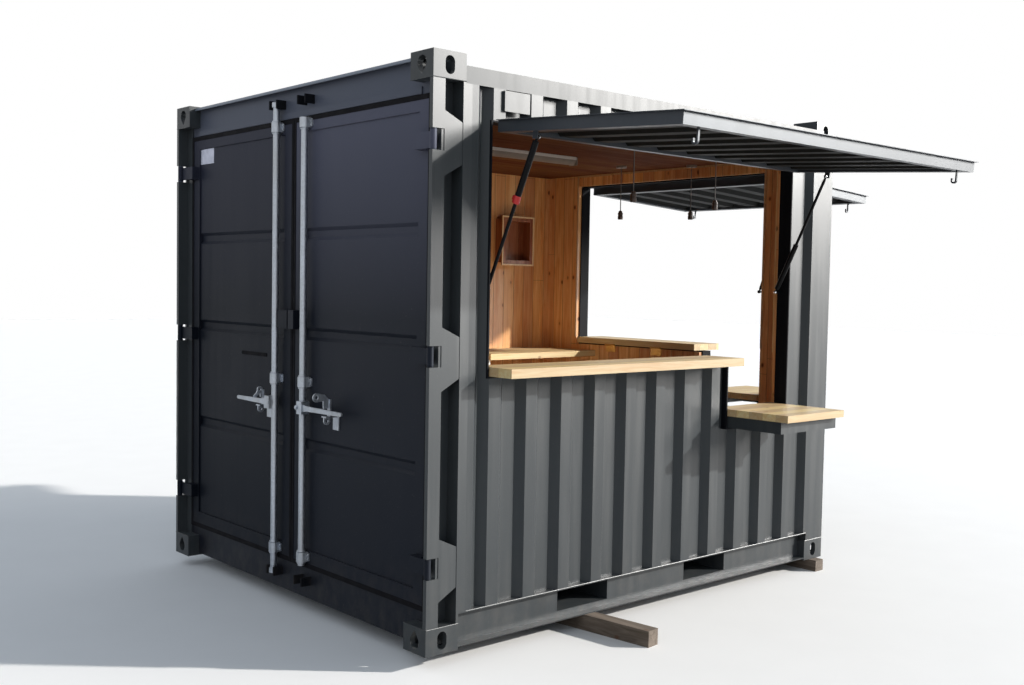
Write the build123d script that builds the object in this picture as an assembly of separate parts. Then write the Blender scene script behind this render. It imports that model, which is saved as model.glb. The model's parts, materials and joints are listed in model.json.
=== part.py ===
from build123d import *
import os
from math import atan2, cos, degrees, hypot, radians, sin

# Container kiosk: a ten foot steel container with a servery opening in one long side and in its
# blind end. X runs along the container from the door end to the blind end, Y runs across it from
# the servery front to the plain back, Z is up. The origin is on the ground under its centre.
# Heights below are from the undersides of the corner castings, which stand above the ground.

# Container envelope
container_length = 2991
container_width = 2438
container_height = 2591
ground_clearance = 65

# Corner castings
casting_length = 178
casting_width = 162
casting_height = 118
casting_wall = 28
casting_side_slot = (79.5, 51)
casting_end_slot = (79.5, 63.5)
casting_end_slot_tip = 8
casting_top_slot = (124.5, 63.5)

# Sheet steel walls: crests lie in the wall plane, troughs are set in from it
sheet = 2
corrugation_pitch = 224
corrugation_crest = 70
corrugation_web = 38
corrugation_depth = 36
corrugation_lead = 37
front_crest_from_post = 120.5
end_crest_from_post = 200
back_crest_from_post = 175.5

# Bottom side rails and the underframe
rail_lift = 12.5
rail_top = 165
rail_plate = 5
rail_web_recess = 46
cross_member_pitch = 310
cross_member_width = 45
cross_member_drop = 122
cross_member_plate = 5
pocket_centres = (-498, 438)
pocket_width = 346
pocket_height = 96
pocket_plate = 4
deck_thickness = 28
deck_drop = 20

# Top rails and roof
top_rail_drop = 50
top_rail_height = 75
top_rail_depth = 60
top_rail_plate = 4
roof_pitch = 274
roof_first_hump = 105.5
roof_hump_rise = 18
roof_hump_flat = 80
roof_hump_slope = 40
roof_hump_end_slope = 60
roof_side_margin = 10
roof_end_margin = 10

# Door end posts, each a bar at the corner and a folded channel beside it
post_bar_length = 65
post_bar_width = 23
post_recess_length = 99
post_recess_depth = 75
post_plate = 6
post_strip_length = 49
gusset_above_hinge = (125, 80)
gusset_below_hinge = (153, 98)
gusset_plate = 6
gusset_setback = 2
blind_post_length = 165
blind_post_width = 88

# Door end header and sill
door_plane = 58.5
door_thickness = 50
header_gap = 10
header_height = 155
header_depth = 60
header_plate = 5
header_lip = 30
header_strip = (6, 32)
header_setback = 8
sill_depth = 90
sill_plate = 5

# Doors
door_sill_gap = 10
door_top_drop = 176
door_edge_gap = 6
door_meeting_gap = 10
door_stile = 84
door_bottom_rail = 82
door_top_rail = 66
door_panel_recess = 8
door_panel_sheet = 3
groove_heights = (789, 1345, 1840)
groove_height = 64
groove_slope = 16
groove_depth = 14
lock_box_height = 94
left_lock_box_width = 95
right_lock_box_width = 52
lock_box_depth = 34
lock_box_plate = 4
lock_box_above_lever = 432

# Door hinges, their pins in notches of the corner bars
hinge_from_bottom = 205
hinge_from_top = 200
hinge_pin_inset = 16
hinge_pin_radius = 8
hinge_pin_embed = 10
hinge_knuckle_radius = 15
hinge_knuckle_height = 80
hinge_notch_height = 92
hinge_notch_length = 51
hinge_rebate = 5
hinge_pin_play = 0.3
blade_offset = 4
blade_thickness = 11
blade_landing = 70
blade_height = 70

# Lock bars on the doors
bar_radius = 17
bar_offset = 137.5
bar_standoff = 24
left_bar_past_door = (83, 97)
right_bar_inside_door = (7, 3)
guide_from_door_ends = (51, 28)
guide_above_lever = 125
guide_wall = 8
guide_height = 50
guide_play = 0.3
guide_foot = (23, 38, 6)
lever_height = 980
lever_standoff = 25
left_lever_length = 350
right_lever_length = 395
lever_section = (8, 26)
lever_root = (60, 34)
lever_shoulder = 78
lever_tip_height = 18
lever_hub = (10, 48, 64)
left_catch_from_bar = 100
right_catch_from_bar = 265
catch_plate = 6
catch_width = 40
catch_height = 70
catch_foot = 50
catch_reach = 17
catch_drop = 6
cam_radius = 23
cam_height = 24
keeper_clearance = 7
keeper_plate = 10
keeper_height = 44
keeper_reach = 54

# Retainers: flat plates that stand out from the doors over the levers, each with an eye, on a strap
# behind its lever, and a lug under the catch. Corners are out from the lever and up from its axis.
retainer_plate = 8
retainer_strap = (10, 17, 24)
left_retainer = ((-10, 19), (-10, 58), (19, 58), (26, 42), (42, 28), (40, 19), (30, 19), (14, 32),
                 (4, 40), (4, 19))
left_retainer_eye = (6, 60, 15, 7)
right_retainer = ((-10, 19), (-10, 63), (14, 86), (54, 94), (62, 52), (22, 56), (20, 19))
right_retainer_eye = (58, 73, 21, 9)
lug_radius = 17
lug_drop = 18
lug_bore = 7

# Servery openings: x runs along each wall as seen with the outside towards -Y. The margins run from
# the posts to the jambs, and the low part holds the shelf.
opening_head_drop = 148
frame_plate = 8
frame_depth = 80
counter_sill = 1198
shelf_sill = 848
front_opening_margins = (117.5, 245.5)
front_low_part = 538
end_opening_margins = (331, 331)
end_low_part = 460

# Counters, which fold up about their inner edges, and the low shelves
counter_thickness = 42
counter_overhang = 145
counter_inner = 109
counter_end_gap = 7
front_counter_stop = 57
end_counter_stop = 49
shelf_thickness = 38
shelf_overhang = 386
shelf_inner = 105
shelf_gap = 6
bracket_height = 64
bracket_plate = 6
bracket_setback = 46
bracket_inset = 8
seat_gap = 0.3
fold_axis_inset = 7
fold_barrel_radius = 6
fold_leaf = (90, 50, 3)
fold_from_ends = 330

# Hatches, modelled closed and turned up to the open angle
hatch_open_angle = 86.5
hatch_hinge_above_head = 12
hatch_hinge_out = 12
hatch_side_gap = 6
hatch_head_gap = 6
hatch_wall_gap = 5
hatch_counter_gap = 25
hatch_box = 50
hatch_box_plate = 3
hatch_lip = 15
hatch_lip_plate = 3
hatch_hinge_count = 4
hatch_knuckle_radius = 9
hatch_pin_radius = 5
hatch_pin_play = 0.3
hatch_knuckle_length = 40
hatch_knuckle_gap = 2
hatch_hinge_from_end = 150
hatch_leaf_plate = 6
hatch_leaf_drop = 30
hatch_catch_from_side = 120
hatch_catch_length = 82
hatch_catch_hook = 22
hatch_catch_bend = 10
hatch_catch_bar = (10, 8)

# Gas struts: lower pivots on the jambs, upper pivots under the hatch side members, each placed
# by its distance inside the wall plane and its drop below the head of the opening
strut_jamb_inset = 39
strut_lower_inset = 64
strut_lower_drop = 727
strut_upper_inset = 67.5
strut_upper_drop = 228.3
strut_tube_radius = 14
strut_tube_bore = 9
strut_rod_radius = 8
strut_tube_length = 280
strut_overlap = 40
strut_cap = 8
strut_neck = 12
strut_neck_radius = 6
strut_eye_radius = 9
strut_eye_width = 10
strut_shank_bite = 2
strut_stud_radius = 5
strut_stud_play = 0.3
strut_stud_gap = 1.5
strut_foot_radius = 12
strut_foot_plate = 5
strut_ear_plate = 6
strut_ear_gap = 4
strut_ear_height = 30

# Timber lining, floor and ceiling
front_lining_inner = 105
back_lining_inner = 89
ceiling_drop = 66
ceiling_thickness = 60
lining_joint = 2
post_gap = 2

# Fittings inside
worktop_top = 1150
worktop_thickness = 40
worktop_depth = 516
worktop_left = 409
worktop_panel = 18
worktop_panel_setback = 26
niche_from_end = 256.5
niche_width = 260
niche_below_ceiling = 324
niche_height = 308
niche_depth = 90
niche_board = 16
niche_trim = 22
niche_trim_depth = 8
batten_light_right = 536
batten_light_size = (1200, 70, 50)
rose_radius = 35
rose_height = 14
cord_radius = 3
front_pendants = ((0, 227), (712, 254))
end_pendants = ((425.5, 99), (173.5, -284))
pendant_drop = 350
holder_height = 58
holder_radius = 17

# Vent covers near the top of both long sides
vent_from_post = 175.5
vent_size = (149, 90, 12)
vent_drop = 96
vent_slot = 8
vent_plate = (5, 3, 10)

# Timber bearers under the container
bearer_width = 75
near_bearer_x = -447
near_bearer_overhang = 371
near_bearer_skew = 6.8
near_bearer_length = 2900
far_bearer_inset = 89.5
far_bearer_overhang = 50

# How far a cutter runs past the faces that it goes through
cut_past = 1

# Places worked out from the sizes above
half_length = container_length / 2
half_width = container_width / 2
casting_bottom_top = container_height - casting_height
top_rail_top = container_height - top_rail_drop
top_rail_bottom = top_rail_top - top_rail_height
deck_bottom = rail_top - deck_drop
floor_top = deck_bottom + deck_thickness
ceiling_bottom = top_rail_bottom - ceiling_drop
vent_bottom = top_rail_bottom - vent_drop
holder_bottom = ceiling_bottom - pendant_drop
opening_head = top_rail_bottom - opening_head_drop
hatch_hinge_height = opening_head + hatch_hinge_above_head
hatch_bottom = counter_sill + counter_thickness + hatch_counter_gap
strut_lower = (strut_lower_inset, opening_head - strut_lower_drop)
strut_upper = (strut_upper_inset, opening_head - strut_upper_drop)
door_bottom = rail_top + door_sill_gap
door_top = container_height - door_top_drop
header_bottom = door_top + header_gap
header_top = header_bottom + header_height
hinge_heights = (door_bottom + hinge_from_bottom, (door_bottom + door_top) / 2, door_top - hinge_from_top)
lock_box_centre = lever_height + lock_box_above_lever
left_bar_span = (door_bottom - left_bar_past_door[0], door_top + left_bar_past_door[1])
right_bar_span = (door_bottom + right_bar_inside_door[0], door_top - right_bar_inside_door[1])
guide_heights = (door_bottom + guide_from_door_ends[0], lever_height + guide_above_lever,
                 door_top - guide_from_door_ends[1])
door_face_x = -half_length + door_plane
bar_x = door_face_x - bar_standoff
lever_x = bar_x - lever_standoff
door_panel_x = door_face_x + door_panel_recess
hinge_pin_x = -half_length + hinge_pin_inset
hinge_pin_y = half_width - hinge_pin_inset
post_door_side = half_width - post_recess_depth - post_plate
door_edge_y = post_door_side - door_edge_gap
bar_end_x = -half_length + post_bar_length
recess_end_x = bar_end_x + post_recess_length
strip_end_x = recess_end_x + post_strip_length
header_x = door_face_x + header_setback
between_castings = half_width - casting_width
blind_post_x = half_length - blind_post_length
blind_post_y = half_width - blind_post_width
front_left = strip_end_x + front_opening_margins[0]
front_right = blind_post_x - front_opening_margins[1]
front_step = front_right - front_low_part
end_left = -blind_post_y + end_opening_margins[0]
end_right = blind_post_y - end_opening_margins[1]
end_step = end_left + end_low_part
front_first_crest = strip_end_x + front_crest_from_post
end_first_crest = -blind_post_y + end_crest_from_post
back_first_crest = -blind_post_x + back_crest_from_post
end_lining_face = half_length - front_lining_inner
niche_right = end_lining_face - niche_from_end
niche_top = ceiling_bottom - niche_below_ceiling
vent_left = strip_end_x + vent_from_post
sheet_inner = corrugation_depth + sheet
front_place = Pos(0, -half_width, 0)
end_place = Pos(half_length, 0, 0) * Rot(0, 0, 90)
back_place = Pos(0, half_width, 0) * Rot(0, 0, 180)


def save(name, *solids):
    """Write one sub-part, raised so that the ground is at z = 0."""
    raised = [Pos(0, 0, ground_clearance) * solid for solid in solids]
    body = raised[0] if len(raised) == 1 else Compound(children=[piece for shape in raised
                                                                 for piece in shape.solids()])
    body.label = name
    export_step(body, f"parts/{name}.step")


def block(x_span, y_span, z_span):
    """A box between two values along each axis."""
    size = [abs(high - low) for low, high in (x_span, y_span, z_span)]
    middle = [(low + high) / 2 for low, high in (x_span, y_span, z_span)]
    return Pos(*middle) * Box(*size)


def prism(outline, height, plane=Plane.XY):
    """The closed outline, drawn on the plane, raised by the height."""
    return extrude(plane * make_face(Polyline(*outline, close=True)), height)


def folded_sheet(path, thickness):
    """Outline of a sheet folded along the path, its thickness on the left of the path."""
    corners = [Vector(*point) for point in path]
    normals = []
    for start, end in zip(corners, corners[1:]):
        run = (end - start).normalized()
        normals.append(Vector(-run.Y, run.X))
    before = [normals[0]] + normals
    after = normals + [normals[-1]]
    inner = [corner + (one + two) * (thickness / (1 + one.dot(two)))
             for corner, one, two in zip(corners, before, after)]
    return [(point.X, point.Y) for point in corners + inner[::-1]]


def corrugation(x_from, x_to, first_crest):
    """Corrugated wall with its crests on y = 0 and its troughs inside, from a short lead crest."""
    lead_end = x_from + corrugation_lead
    path = [(x_from, 0), (lead_end, 0), (lead_end + corrugation_web, corrugation_depth),
            (first_crest - corrugation_web, corrugation_depth)]
    crest = first_crest
    while crest < x_to:
        path += [(crest, 0), (crest + corrugation_crest, 0)]
        path += [(crest + corrugation_crest + corrugation_web, corrugation_depth),
                 (crest + corrugation_pitch - corrugation_web, corrugation_depth)]
        crest += corrugation_pitch
    return prism(folded_sheet(path, sheet), top_rail_bottom - rail_top, Plane.XY.offset(rail_top))


def stadium(length, width, depth, plane):
    """A round-ended slot cutter through the plane, long side along the plane's x."""
    return extrude(plane * SlotOverall(length, width), depth, both=True)


def mirrored_y(shape):
    return mirror(shape, Plane.XZ)


def corner_casting():
    """The casting of the near right bottom corner, its outer corner at the origin, Z up from it."""
    casting = block((0, casting_length), (0, casting_width), (0, casting_height))
    casting -= block((casting_wall, casting_length - casting_wall),
                     (casting_wall, casting_width - casting_wall),
                     (casting_wall, casting_height - casting_wall))
    middle = (casting_length / 2, casting_width / 2, casting_height / 2)
    side = Plane(origin=(middle[0], 0, middle[2]), x_dir=(0, 0, 1), z_dir=(0, 1, 0))
    end = Plane(origin=(0, middle[1], middle[2]), x_dir=(0, 0, 1), z_dir=(1, 0, 0))
    outer = Plane(origin=(middle[0], middle[1], 0), x_dir=(1, 0, 0), z_dir=(0, 0, 1))
    reach = casting_wall + cut_past
    casting -= stadium(*casting_side_slot, reach, side)
    casting -= extrude(end * casting_end_slot_face(), reach, both=True)
    casting -= stadium(*casting_top_slot, reach, outer)
    return casting


def casting_end_slot_face():
    """Shield shaped end slot, its narrow end towards the middle height of the container."""
    length, width = casting_end_slot
    wide = Pos((width - length) / 2, 0) * Circle(width / 2)
    narrow = Pos(length / 2 - casting_end_slot_tip, 0) * Circle(casting_end_slot_tip)
    return make_hull([*wide.edges(), *narrow.edges()])


def in_four_corners(casting):
    """A casting of the near right corner, mirrored into all four corners."""
    pair = [casting, mirror(casting, Plane.XZ)]
    return pair + [mirror(shape, Plane.YZ) for shape in pair]


def door_end_post():
    """The post on the front side of the door end, with hinge notches, pins and gussets."""
    bar = block((-half_length, bar_end_x), (-half_width, -half_width + post_bar_width),
                (casting_height, casting_bottom_top))
    channel_path = [(bar_end_x, -half_width + post_bar_width),
                    (bar_end_x, -half_width + post_recess_depth),
                    (recess_end_x, -half_width + post_recess_depth),
                    (recess_end_x, -half_width),
                    (strip_end_x, -half_width),
                    (strip_end_x, -half_width + sheet_inner)]
    channel_height = casting_bottom_top - casting_height
    channel = prism(folded_sheet(channel_path, post_plate), channel_height, Plane.XY.offset(casting_height))
    post = bar + channel
    for height in hinge_heights:
        notch = (height - hinge_notch_height / 2, height + hinge_notch_height / 2)
        outside = -half_width - cut_past
        post -= block((-half_length - cut_past, -half_length + hinge_notch_length),
                      (outside, -half_width + post_bar_width + cut_past), notch)
        post -= block((-half_length, bar_end_x + cut_past), (outside, -half_width + hinge_rebate), notch)
        pin = Pos(hinge_pin_x, -hinge_pin_y, height) * Cylinder(hinge_pin_radius,
                                                                hinge_notch_height + 2 * hinge_pin_embed)
        gusset = [(bar_end_x, height - gusset_below_hinge[0]),
                  (recess_end_x, height - gusset_below_hinge[1]),
                  (recess_end_x, height + gusset_above_hinge[1]),
                  (bar_end_x, height + gusset_above_hinge[0])]
        face = Plane(origin=(0, -half_width + gusset_setback, 0), x_dir=(1, 0, 0), z_dir=(0, -1, 0))
        post = post + pin + prism(gusset, -gusset_plate, face)
    rail_start = -half_length + casting_length
    for z_span in ((0, rail_top), (top_rail_bottom, container_height)):
        post -= block((rail_start, strip_end_x + cut_past), (-half_width - cut_past, 0), z_span)
    return post


def hollow_bar(x_span, z_span, plate, run):
    """A closed box section, its x and z limits given, laid along y over the run."""
    outer = block(x_span, run, z_span)
    return outer - block((x_span[0] + plate, x_span[1] - plate), (run[0] - cut_past, run[1] + cut_past),
                         (z_span[0] + plate, z_span[1] - plate))


def blind_end_post():
    """The hollow post on the front side of the blind end."""
    outer = ((blind_post_x, half_length), (-half_width, -blind_post_y))
    post = block(*outer, (casting_height, casting_bottom_top))
    inner = [(low + post_plate, high - post_plate) for low, high in outer]
    return post - block(*inner, (casting_height - cut_past, casting_bottom_top + cut_past))


def bottom_rail(half_run):
    """A channel open to the outside, along the wall of local y = 0, from -half_run to half_run."""
    back = rail_web_recess + rail_plate
    outline = [(0, rail_top), (back, rail_top), (back, rail_lift), (0, rail_lift),
               (0, rail_lift + rail_plate), (rail_web_recess, rail_lift + rail_plate),
               (rail_web_recess, rail_top - rail_plate), (0, rail_top - rail_plate)]
    face = Plane(origin=(-half_run, 0, 0), x_dir=(0, 1, 0), z_dir=(1, 0, 0))
    return prism(outline, 2 * half_run, face)


def between_posts(x_span, half_run, z_span):
    """A slab inside the container, narrower where it passes between the posts at both ends."""
    door_stop = recess_end_x + post_plate + post_gap
    blind_stop = blind_post_x - post_gap
    door_half = post_door_side - post_gap
    blind_half = blind_post_y - post_gap
    slab = block((door_stop, blind_stop), (-half_run, half_run), z_span)
    slab += block((x_span[0], door_stop), (-door_half, door_half), z_span)
    return slab + block((blind_stop, x_span[1]), (-blind_half, blind_half), z_span)


def pocket_span(centre, margin=0.0):
    return (centre - pocket_width / 2 - margin, centre + pocket_width / 2 + margin)


pocket_floor = deck_bottom - pocket_plate - pocket_height
pocket_run = half_width - rail_web_recess


def fork_pockets():
    """Two flat tubes across the underframe, through the webs of both side rails."""
    tubes = []
    for centre in pocket_centres:
        tube = block(pocket_span(centre, pocket_plate), (-pocket_run, pocket_run),
                     (pocket_floor - pocket_plate, pocket_floor + pocket_height + pocket_plate))
        tubes.append(tube - block(pocket_span(centre), (-pocket_run - cut_past, pocket_run + cut_past),
                                  (pocket_floor, pocket_floor + pocket_height)))
    return tubes


def side_rail(pockets):
    """The rail on the front side, cut where the fork pockets pass."""
    rail = front_place * bottom_rail(half_length - casting_length)
    for centre in pockets:
        rail -= block(pocket_span(centre, pocket_plate),
                      (-half_width - cut_past, -half_width + rail_web_recess + rail_plate + cut_past),
                      (pocket_floor - pocket_plate, pocket_floor + pocket_height + pocket_plate))
    return rail


def cross_members():
    """Channels between the side rails, left out where a fork pocket runs."""
    run = half_width - rail_web_recess - rail_plate
    top = deck_bottom
    each_side = int((half_length - casting_length) / cross_member_pitch)
    members = []
    for index in range(-each_side, each_side + 1):
        start = index * cross_member_pitch
        blocked = any(low - cross_member_width < start < high
                      for low, high in (pocket_span(centre, pocket_plate) for centre in pocket_centres))
        if blocked:
            continue
        outline = [(start, top), (start + cross_member_width, top),
                   (start + cross_member_width, top - cross_member_plate),
                   (start + cross_member_plate, top - cross_member_plate),
                   (start + cross_member_plate, top - cross_member_drop + cross_member_plate),
                   (start + cross_member_width, top - cross_member_drop + cross_member_plate),
                   (start + cross_member_width, top - cross_member_drop),
                   (start, top - cross_member_drop)]
        face = Plane(origin=(0, run, 0), x_dir=(1, 0, 0), z_dir=(0, -1, 0))
        members.append(prism(outline, 2 * run, face))
    return members


def roof_hump():
    """One hump of the roof as a solid, sloped on all four sides, on z = 0."""
    half_run = half_width - roof_side_margin - roof_end_margin
    foot = Rectangle(roof_hump_flat + 2 * roof_hump_slope, 2 * half_run)
    top = Rectangle(roof_hump_flat, 2 * (half_run - roof_hump_end_slope))
    return loft([foot.face(), (Pos(0, 0, roof_hump_rise) * top).face()], ruled=True)


def roof_panel():
    """Sheet with humps across it, between the castings."""
    half_run = half_width - roof_side_margin
    reach = half_length - casting_length
    roof = block((-reach, reach), (-half_run, half_run), (top_rail_top, top_rail_top + sheet))
    hump = roof_hump()
    places = []
    centre = -reach + roof_first_hump
    while centre + roof_hump_flat / 2 + roof_hump_slope < reach:
        places.append(Pos(centre, 0, top_rail_top))
        centre += roof_pitch
    for place in places:
        roof += place * Pos(0, 0, sheet) * hump
    for place in places:
        roof -= place * hump
    return roof


def roof_end_plates():
    """Flat plates between the top castings, from the roof to the header and over the blind end."""
    return [block(x_span, (-between_castings, between_castings), (top_rail_top, top_rail_top + sheet))
            for x_span in ((header_x + header_depth, -half_length + casting_length),
                           (half_length - casting_length, half_length - roof_end_margin))]


def opening_outline(left, right, step):
    """Clear outline of a servery opening: high over the counter, low over the shelf."""
    shelf_side, counter_side = (right, left) if step > (left + right) / 2 else (left, right)
    return [(counter_side, counter_sill), (step, counter_sill), (step, shelf_sill),
            (shelf_side, shelf_sill), (shelf_side, opening_head), (counter_side, opening_head)]


def opening_face(left, right, step, margin=0.0):
    """The opening as a face of the wall plane, grown by a margin."""
    face = make_face(Polyline(*opening_outline(left, right, step), close=True))
    return offset(face, margin, kind=Kind.INTERSECTION) if margin else face


wall_view = Plane(origin=(0, 0, 0), x_dir=(1, 0, 0), z_dir=(0, -1, 0))


def opening_cutter(left, right, step, depth, margin=0.0):
    """A prism of the opening from the wall plane inwards."""
    return extrude(wall_view * opening_face(left, right, step, margin), -depth)


def opening_frame(left, right, step, strut_sides):
    """Flat steel welded round the opening, with the hatch hinge lugs and the strut studs."""
    frame = opening_cutter(left, right, step, frame_depth, frame_plate)
    frame -= Pos(0, -cut_past, 0) * opening_cutter(left, right, step, frame_depth + 2 * cut_past)
    for centre in hinge_places(left, right):
        frame += hatch_lug(centre)
    for side in strut_sides:
        frame += strut_foot(left, right, side)
    return frame


def hinge_places(left, right):
    """Centres of the hatch hinges along the head of the opening."""
    first, last = left + hatch_hinge_from_end, right - hatch_hinge_from_end
    return [first + index * (last - first) / (hatch_hinge_count - 1) for index in range(hatch_hinge_count)]


def hinge_pin_plane(x):
    return Plane(origin=(x, -hatch_hinge_out, hatch_hinge_height), x_dir=(0, 1, 0), z_dir=(1, 0, 0))


def hatch_lug(centre):
    """Fixed half of a hatch hinge: a lug on the edge of the head plate, a barrel and its pin."""
    length, gap = hatch_knuckle_length, hatch_knuckle_gap
    start = centre - length - gap / 2
    barrel = extrude(hinge_pin_plane(start) * Circle(hatch_knuckle_radius), length)
    pin = extrude(hinge_pin_plane(start) * Circle(hatch_pin_radius), 2 * length + gap)
    lug = block((start, start + length), (-hatch_hinge_out, 0), (opening_head, hatch_hinge_height))
    return barrel + pin + lug


def strut_x(left, right, side):
    """The plane of a strut, set in from its jamb."""
    return left + strut_jamb_inset if side < 0 else right - strut_jamb_inset


def strut_foot(left, right, side):
    """Stud and foot on the jamb at the lower pivot."""
    jamb = left if side < 0 else right
    y, z = strut_lower
    inward = Plane(origin=(jamb + side, y, z), x_dir=(0, 1, 0), z_dir=(-side, 0, 0))
    reach = strut_jamb_inset - strut_eye_width / 2 - strut_stud_gap
    return (extrude(inward * Circle(strut_stud_radius), reach + 1)
            + extrude(inward * Circle(strut_foot_radius), strut_foot_plate + 1))


def wall_panel(wall, x_span, z_span):
    """The part of a corrugated wall inside the spans."""
    return wall & block(x_span, (-cut_past, sheet_inner + cut_past), z_span)


def wall_below(wall, left, right, step):
    """The corrugated wall under the counter and the shelf, stepped with the sills."""
    panel = wall_panel(wall, (left - frame_plate, right + frame_plate),
                       (rail_top, counter_sill - frame_plate))
    cutter = opening_cutter(left, right, step, sheet_inner + 2 * cut_past, frame_plate)
    return panel - Pos(0, -cut_past, 0) * cutter


def lining(left, right, step, x_span, inner):
    """Boarded lining round an opening, as slabs with narrow joints between them."""
    inside, outside = (sheet_inner, inner)
    slabs = []
    edge = frame_plate + lining_joint / 2
    for x0, x1 in ((x_span[0], left - edge), (right + edge, x_span[1])):
        slabs.append(block((x0, x1), (inside, outside), (floor_top, ceiling_bottom)))
    middle = (left - edge + lining_joint, right + edge - lining_joint)
    cutter = Pos(0, -cut_past, 0) * opening_cutter(left, right, step, inner + 2 * cut_past, frame_plate)
    slabs.append(block(middle, (inside, outside), (opening_head + frame_plate, ceiling_bottom)))
    lower = block(middle, (inside, outside), (floor_top, counter_sill - frame_plate)) - cutter
    slabs.append(lower)
    return slabs


def counter(left, right, step, stop):
    """Counter slab over the high sill, open towards the step."""
    if step > (left + right) / 2:
        x_span = (left + counter_end_gap, step - stop)
    else:
        x_span = (step + stop, right - counter_end_gap)
    slab = block(x_span, (-counter_overhang, counter_inner),
                 (counter_sill + seat_gap, counter_sill + counter_thickness))
    return slab, x_span


def counter_hinge(centre):
    """Butt hinge under the inner edge of a counter: leaf on the lining and its barrel."""
    length, drop, plate = fold_leaf
    leaf = block((centre - length / 2, centre + length / 2), (front_lining_inner, front_lining_inner + plate),
                 (counter_sill - drop, counter_sill))
    axis = Plane(origin=(centre - length / 2, counter_inner + fold_axis_inset, counter_sill),
                 x_dir=(0, 1, 0), z_dir=(1, 0, 0))
    tab = block((centre - length / 2, centre + length / 2),
                (front_lining_inner, counter_inner + fold_axis_inset), (counter_sill - plate, counter_sill))
    return leaf + tab + extrude(axis * Circle(fold_barrel_radius), length)


def shelf_span(left, right, step):
    """Extent of the low shelf between the step and the far jamb."""
    return (step + shelf_gap, right - shelf_gap) if step > (left + right) / 2 else (left + shelf_gap,
                                                                                    step - shelf_gap)


def low_shelf(left, right, step):
    bottom = shelf_sill + bracket_height
    return block(shelf_span(left, right, step), (-shelf_overhang, shelf_inner),
                 (bottom, bottom + shelf_thickness))


def shelf_bracket(left, right, step):
    """Three sided steel tray under the low shelf, standing on the low sill."""
    low, high = shelf_span(left, right, step)
    low, high = low + bracket_inset, high - bracket_inset
    z_span = (shelf_sill, shelf_sill + bracket_height)
    front = -shelf_overhang + bracket_setback
    tray = block((low, high), (front, frame_depth), z_span)
    return tray - block((low + bracket_plate, high - bracket_plate),
                        (front + bracket_plate, frame_depth + cut_past),
                        (z_span[0] - cut_past, z_span[1] + cut_past))


def hatch_spans(left, right):
    x_span = (left + hatch_side_gap, right - hatch_side_gap)
    y_span = (-hatch_wall_gap, hatch_box - hatch_wall_gap)
    z_span = (hatch_bottom, opening_head - hatch_head_gap)
    return x_span, y_span, z_span


def hatch_turned(shape):
    """A piece of the closed hatch, swung up to the open angle about the hinge."""
    axis = Axis((0, -hatch_hinge_out, hatch_hinge_height), (1, 0, 0))
    return shape.rotate(axis, -hatch_open_angle)


def hatch_frame(left, right, strut_sides):
    """Box section frame with a drip lip, hinge knuckles, strut ears and hook catches."""
    x_span, y_span, z_span = hatch_spans(left, right)
    x0, x1 = x_span
    z0, z1 = z_span
    inner = block((x0 + hatch_box, x1 - hatch_box),
                  (y_span[0] - hatch_lip_plate - cut_past, y_span[1] + cut_past),
                  (z0 + hatch_box, z1 - hatch_box))
    frame = block(x_span, y_span, z_span)
    plate = hatch_box_plate
    frame -= block((x0 + plate, x1 - plate), (y_span[0] + plate, y_span[1] - plate), (z0 + plate, z1 - plate))
    wall = block((x0 + hatch_box - plate, x1 - hatch_box + plate), y_span,
                 (z0 + hatch_box - plate, z1 - hatch_box + plate))
    frame += wall
    frame += block((x0 - hatch_lip, x1 + hatch_lip), (y_span[0] - hatch_lip_plate, y_span[0]),
                   (z0 - hatch_lip, z1))
    frame -= inner
    for centre in hinge_places(left, right):
        frame += hatch_knuckle(centre, z1, y_span[0])
    for side in strut_sides:
        frame += strut_ear(left, right, side, y_span[1])
    for x in (x0 + hatch_catch_from_side, x1 - hatch_catch_from_side):
        frame += hatch_catch(x, z0, y_span[1])
    return frame


def hatch_knuckle(centre, top, skin):
    """Moving half of a hatch hinge: barrel, and a leaf down to the hatch skin."""
    start = centre + hatch_knuckle_gap / 2
    barrel = extrude(hinge_pin_plane(start) * Circle(hatch_knuckle_radius), hatch_knuckle_length)
    front = skin - hatch_lip_plate
    leaf = block((start, start + hatch_knuckle_length), (front - hatch_leaf_plate, front),
                 (top - hatch_leaf_drop, hatch_hinge_height))
    barrel = barrel + leaf
    return barrel - extrude(hinge_pin_plane(start - cut_past) * Circle(hatch_pin_radius + hatch_pin_play),
                            hatch_knuckle_length + 2 * cut_past)


def strut_ear(left, right, side, rear):
    """Ear behind a side member that carries the stud of the upper pivot."""
    y, z = strut_upper
    plane_x = strut_x(left, right, side)
    jamb_side = plane_x + side * (strut_eye_width / 2 + strut_ear_gap)
    ear = block(sorted((jamb_side, jamb_side + side * strut_ear_plate)),
                (rear - 1, y + strut_stud_radius + strut_ear_gap),
                (z - strut_ear_height / 2, z + strut_ear_height / 2))
    stud = Plane(origin=(jamb_side, y, z), x_dir=(0, 1, 0), z_dir=(-side, 0, 0))
    return ear + extrude(stud * Circle(strut_stud_radius), strut_eye_width + 2 * strut_ear_gap)


def hatch_catch(x, bottom, rear):
    """Hook of bent flat bar that hangs from the bottom member of the hatch."""
    z = bottom + hatch_box / 2
    width, thickness = hatch_catch_bar
    side = Plane(origin=(x - width / 2, 0, 0), x_dir=(0, 1, 0), z_dir=(1, 0, 0))
    tip = rear + hatch_catch_length - hatch_catch_hook
    line = FilletPolyline((rear - thickness / 2, z), (tip, z), (tip, z + hatch_catch_hook),
                          (tip - hatch_catch_hook, z + hatch_catch_hook), radius=hatch_catch_bend)
    return extrude(side * trace(line, thickness), width)


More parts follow.
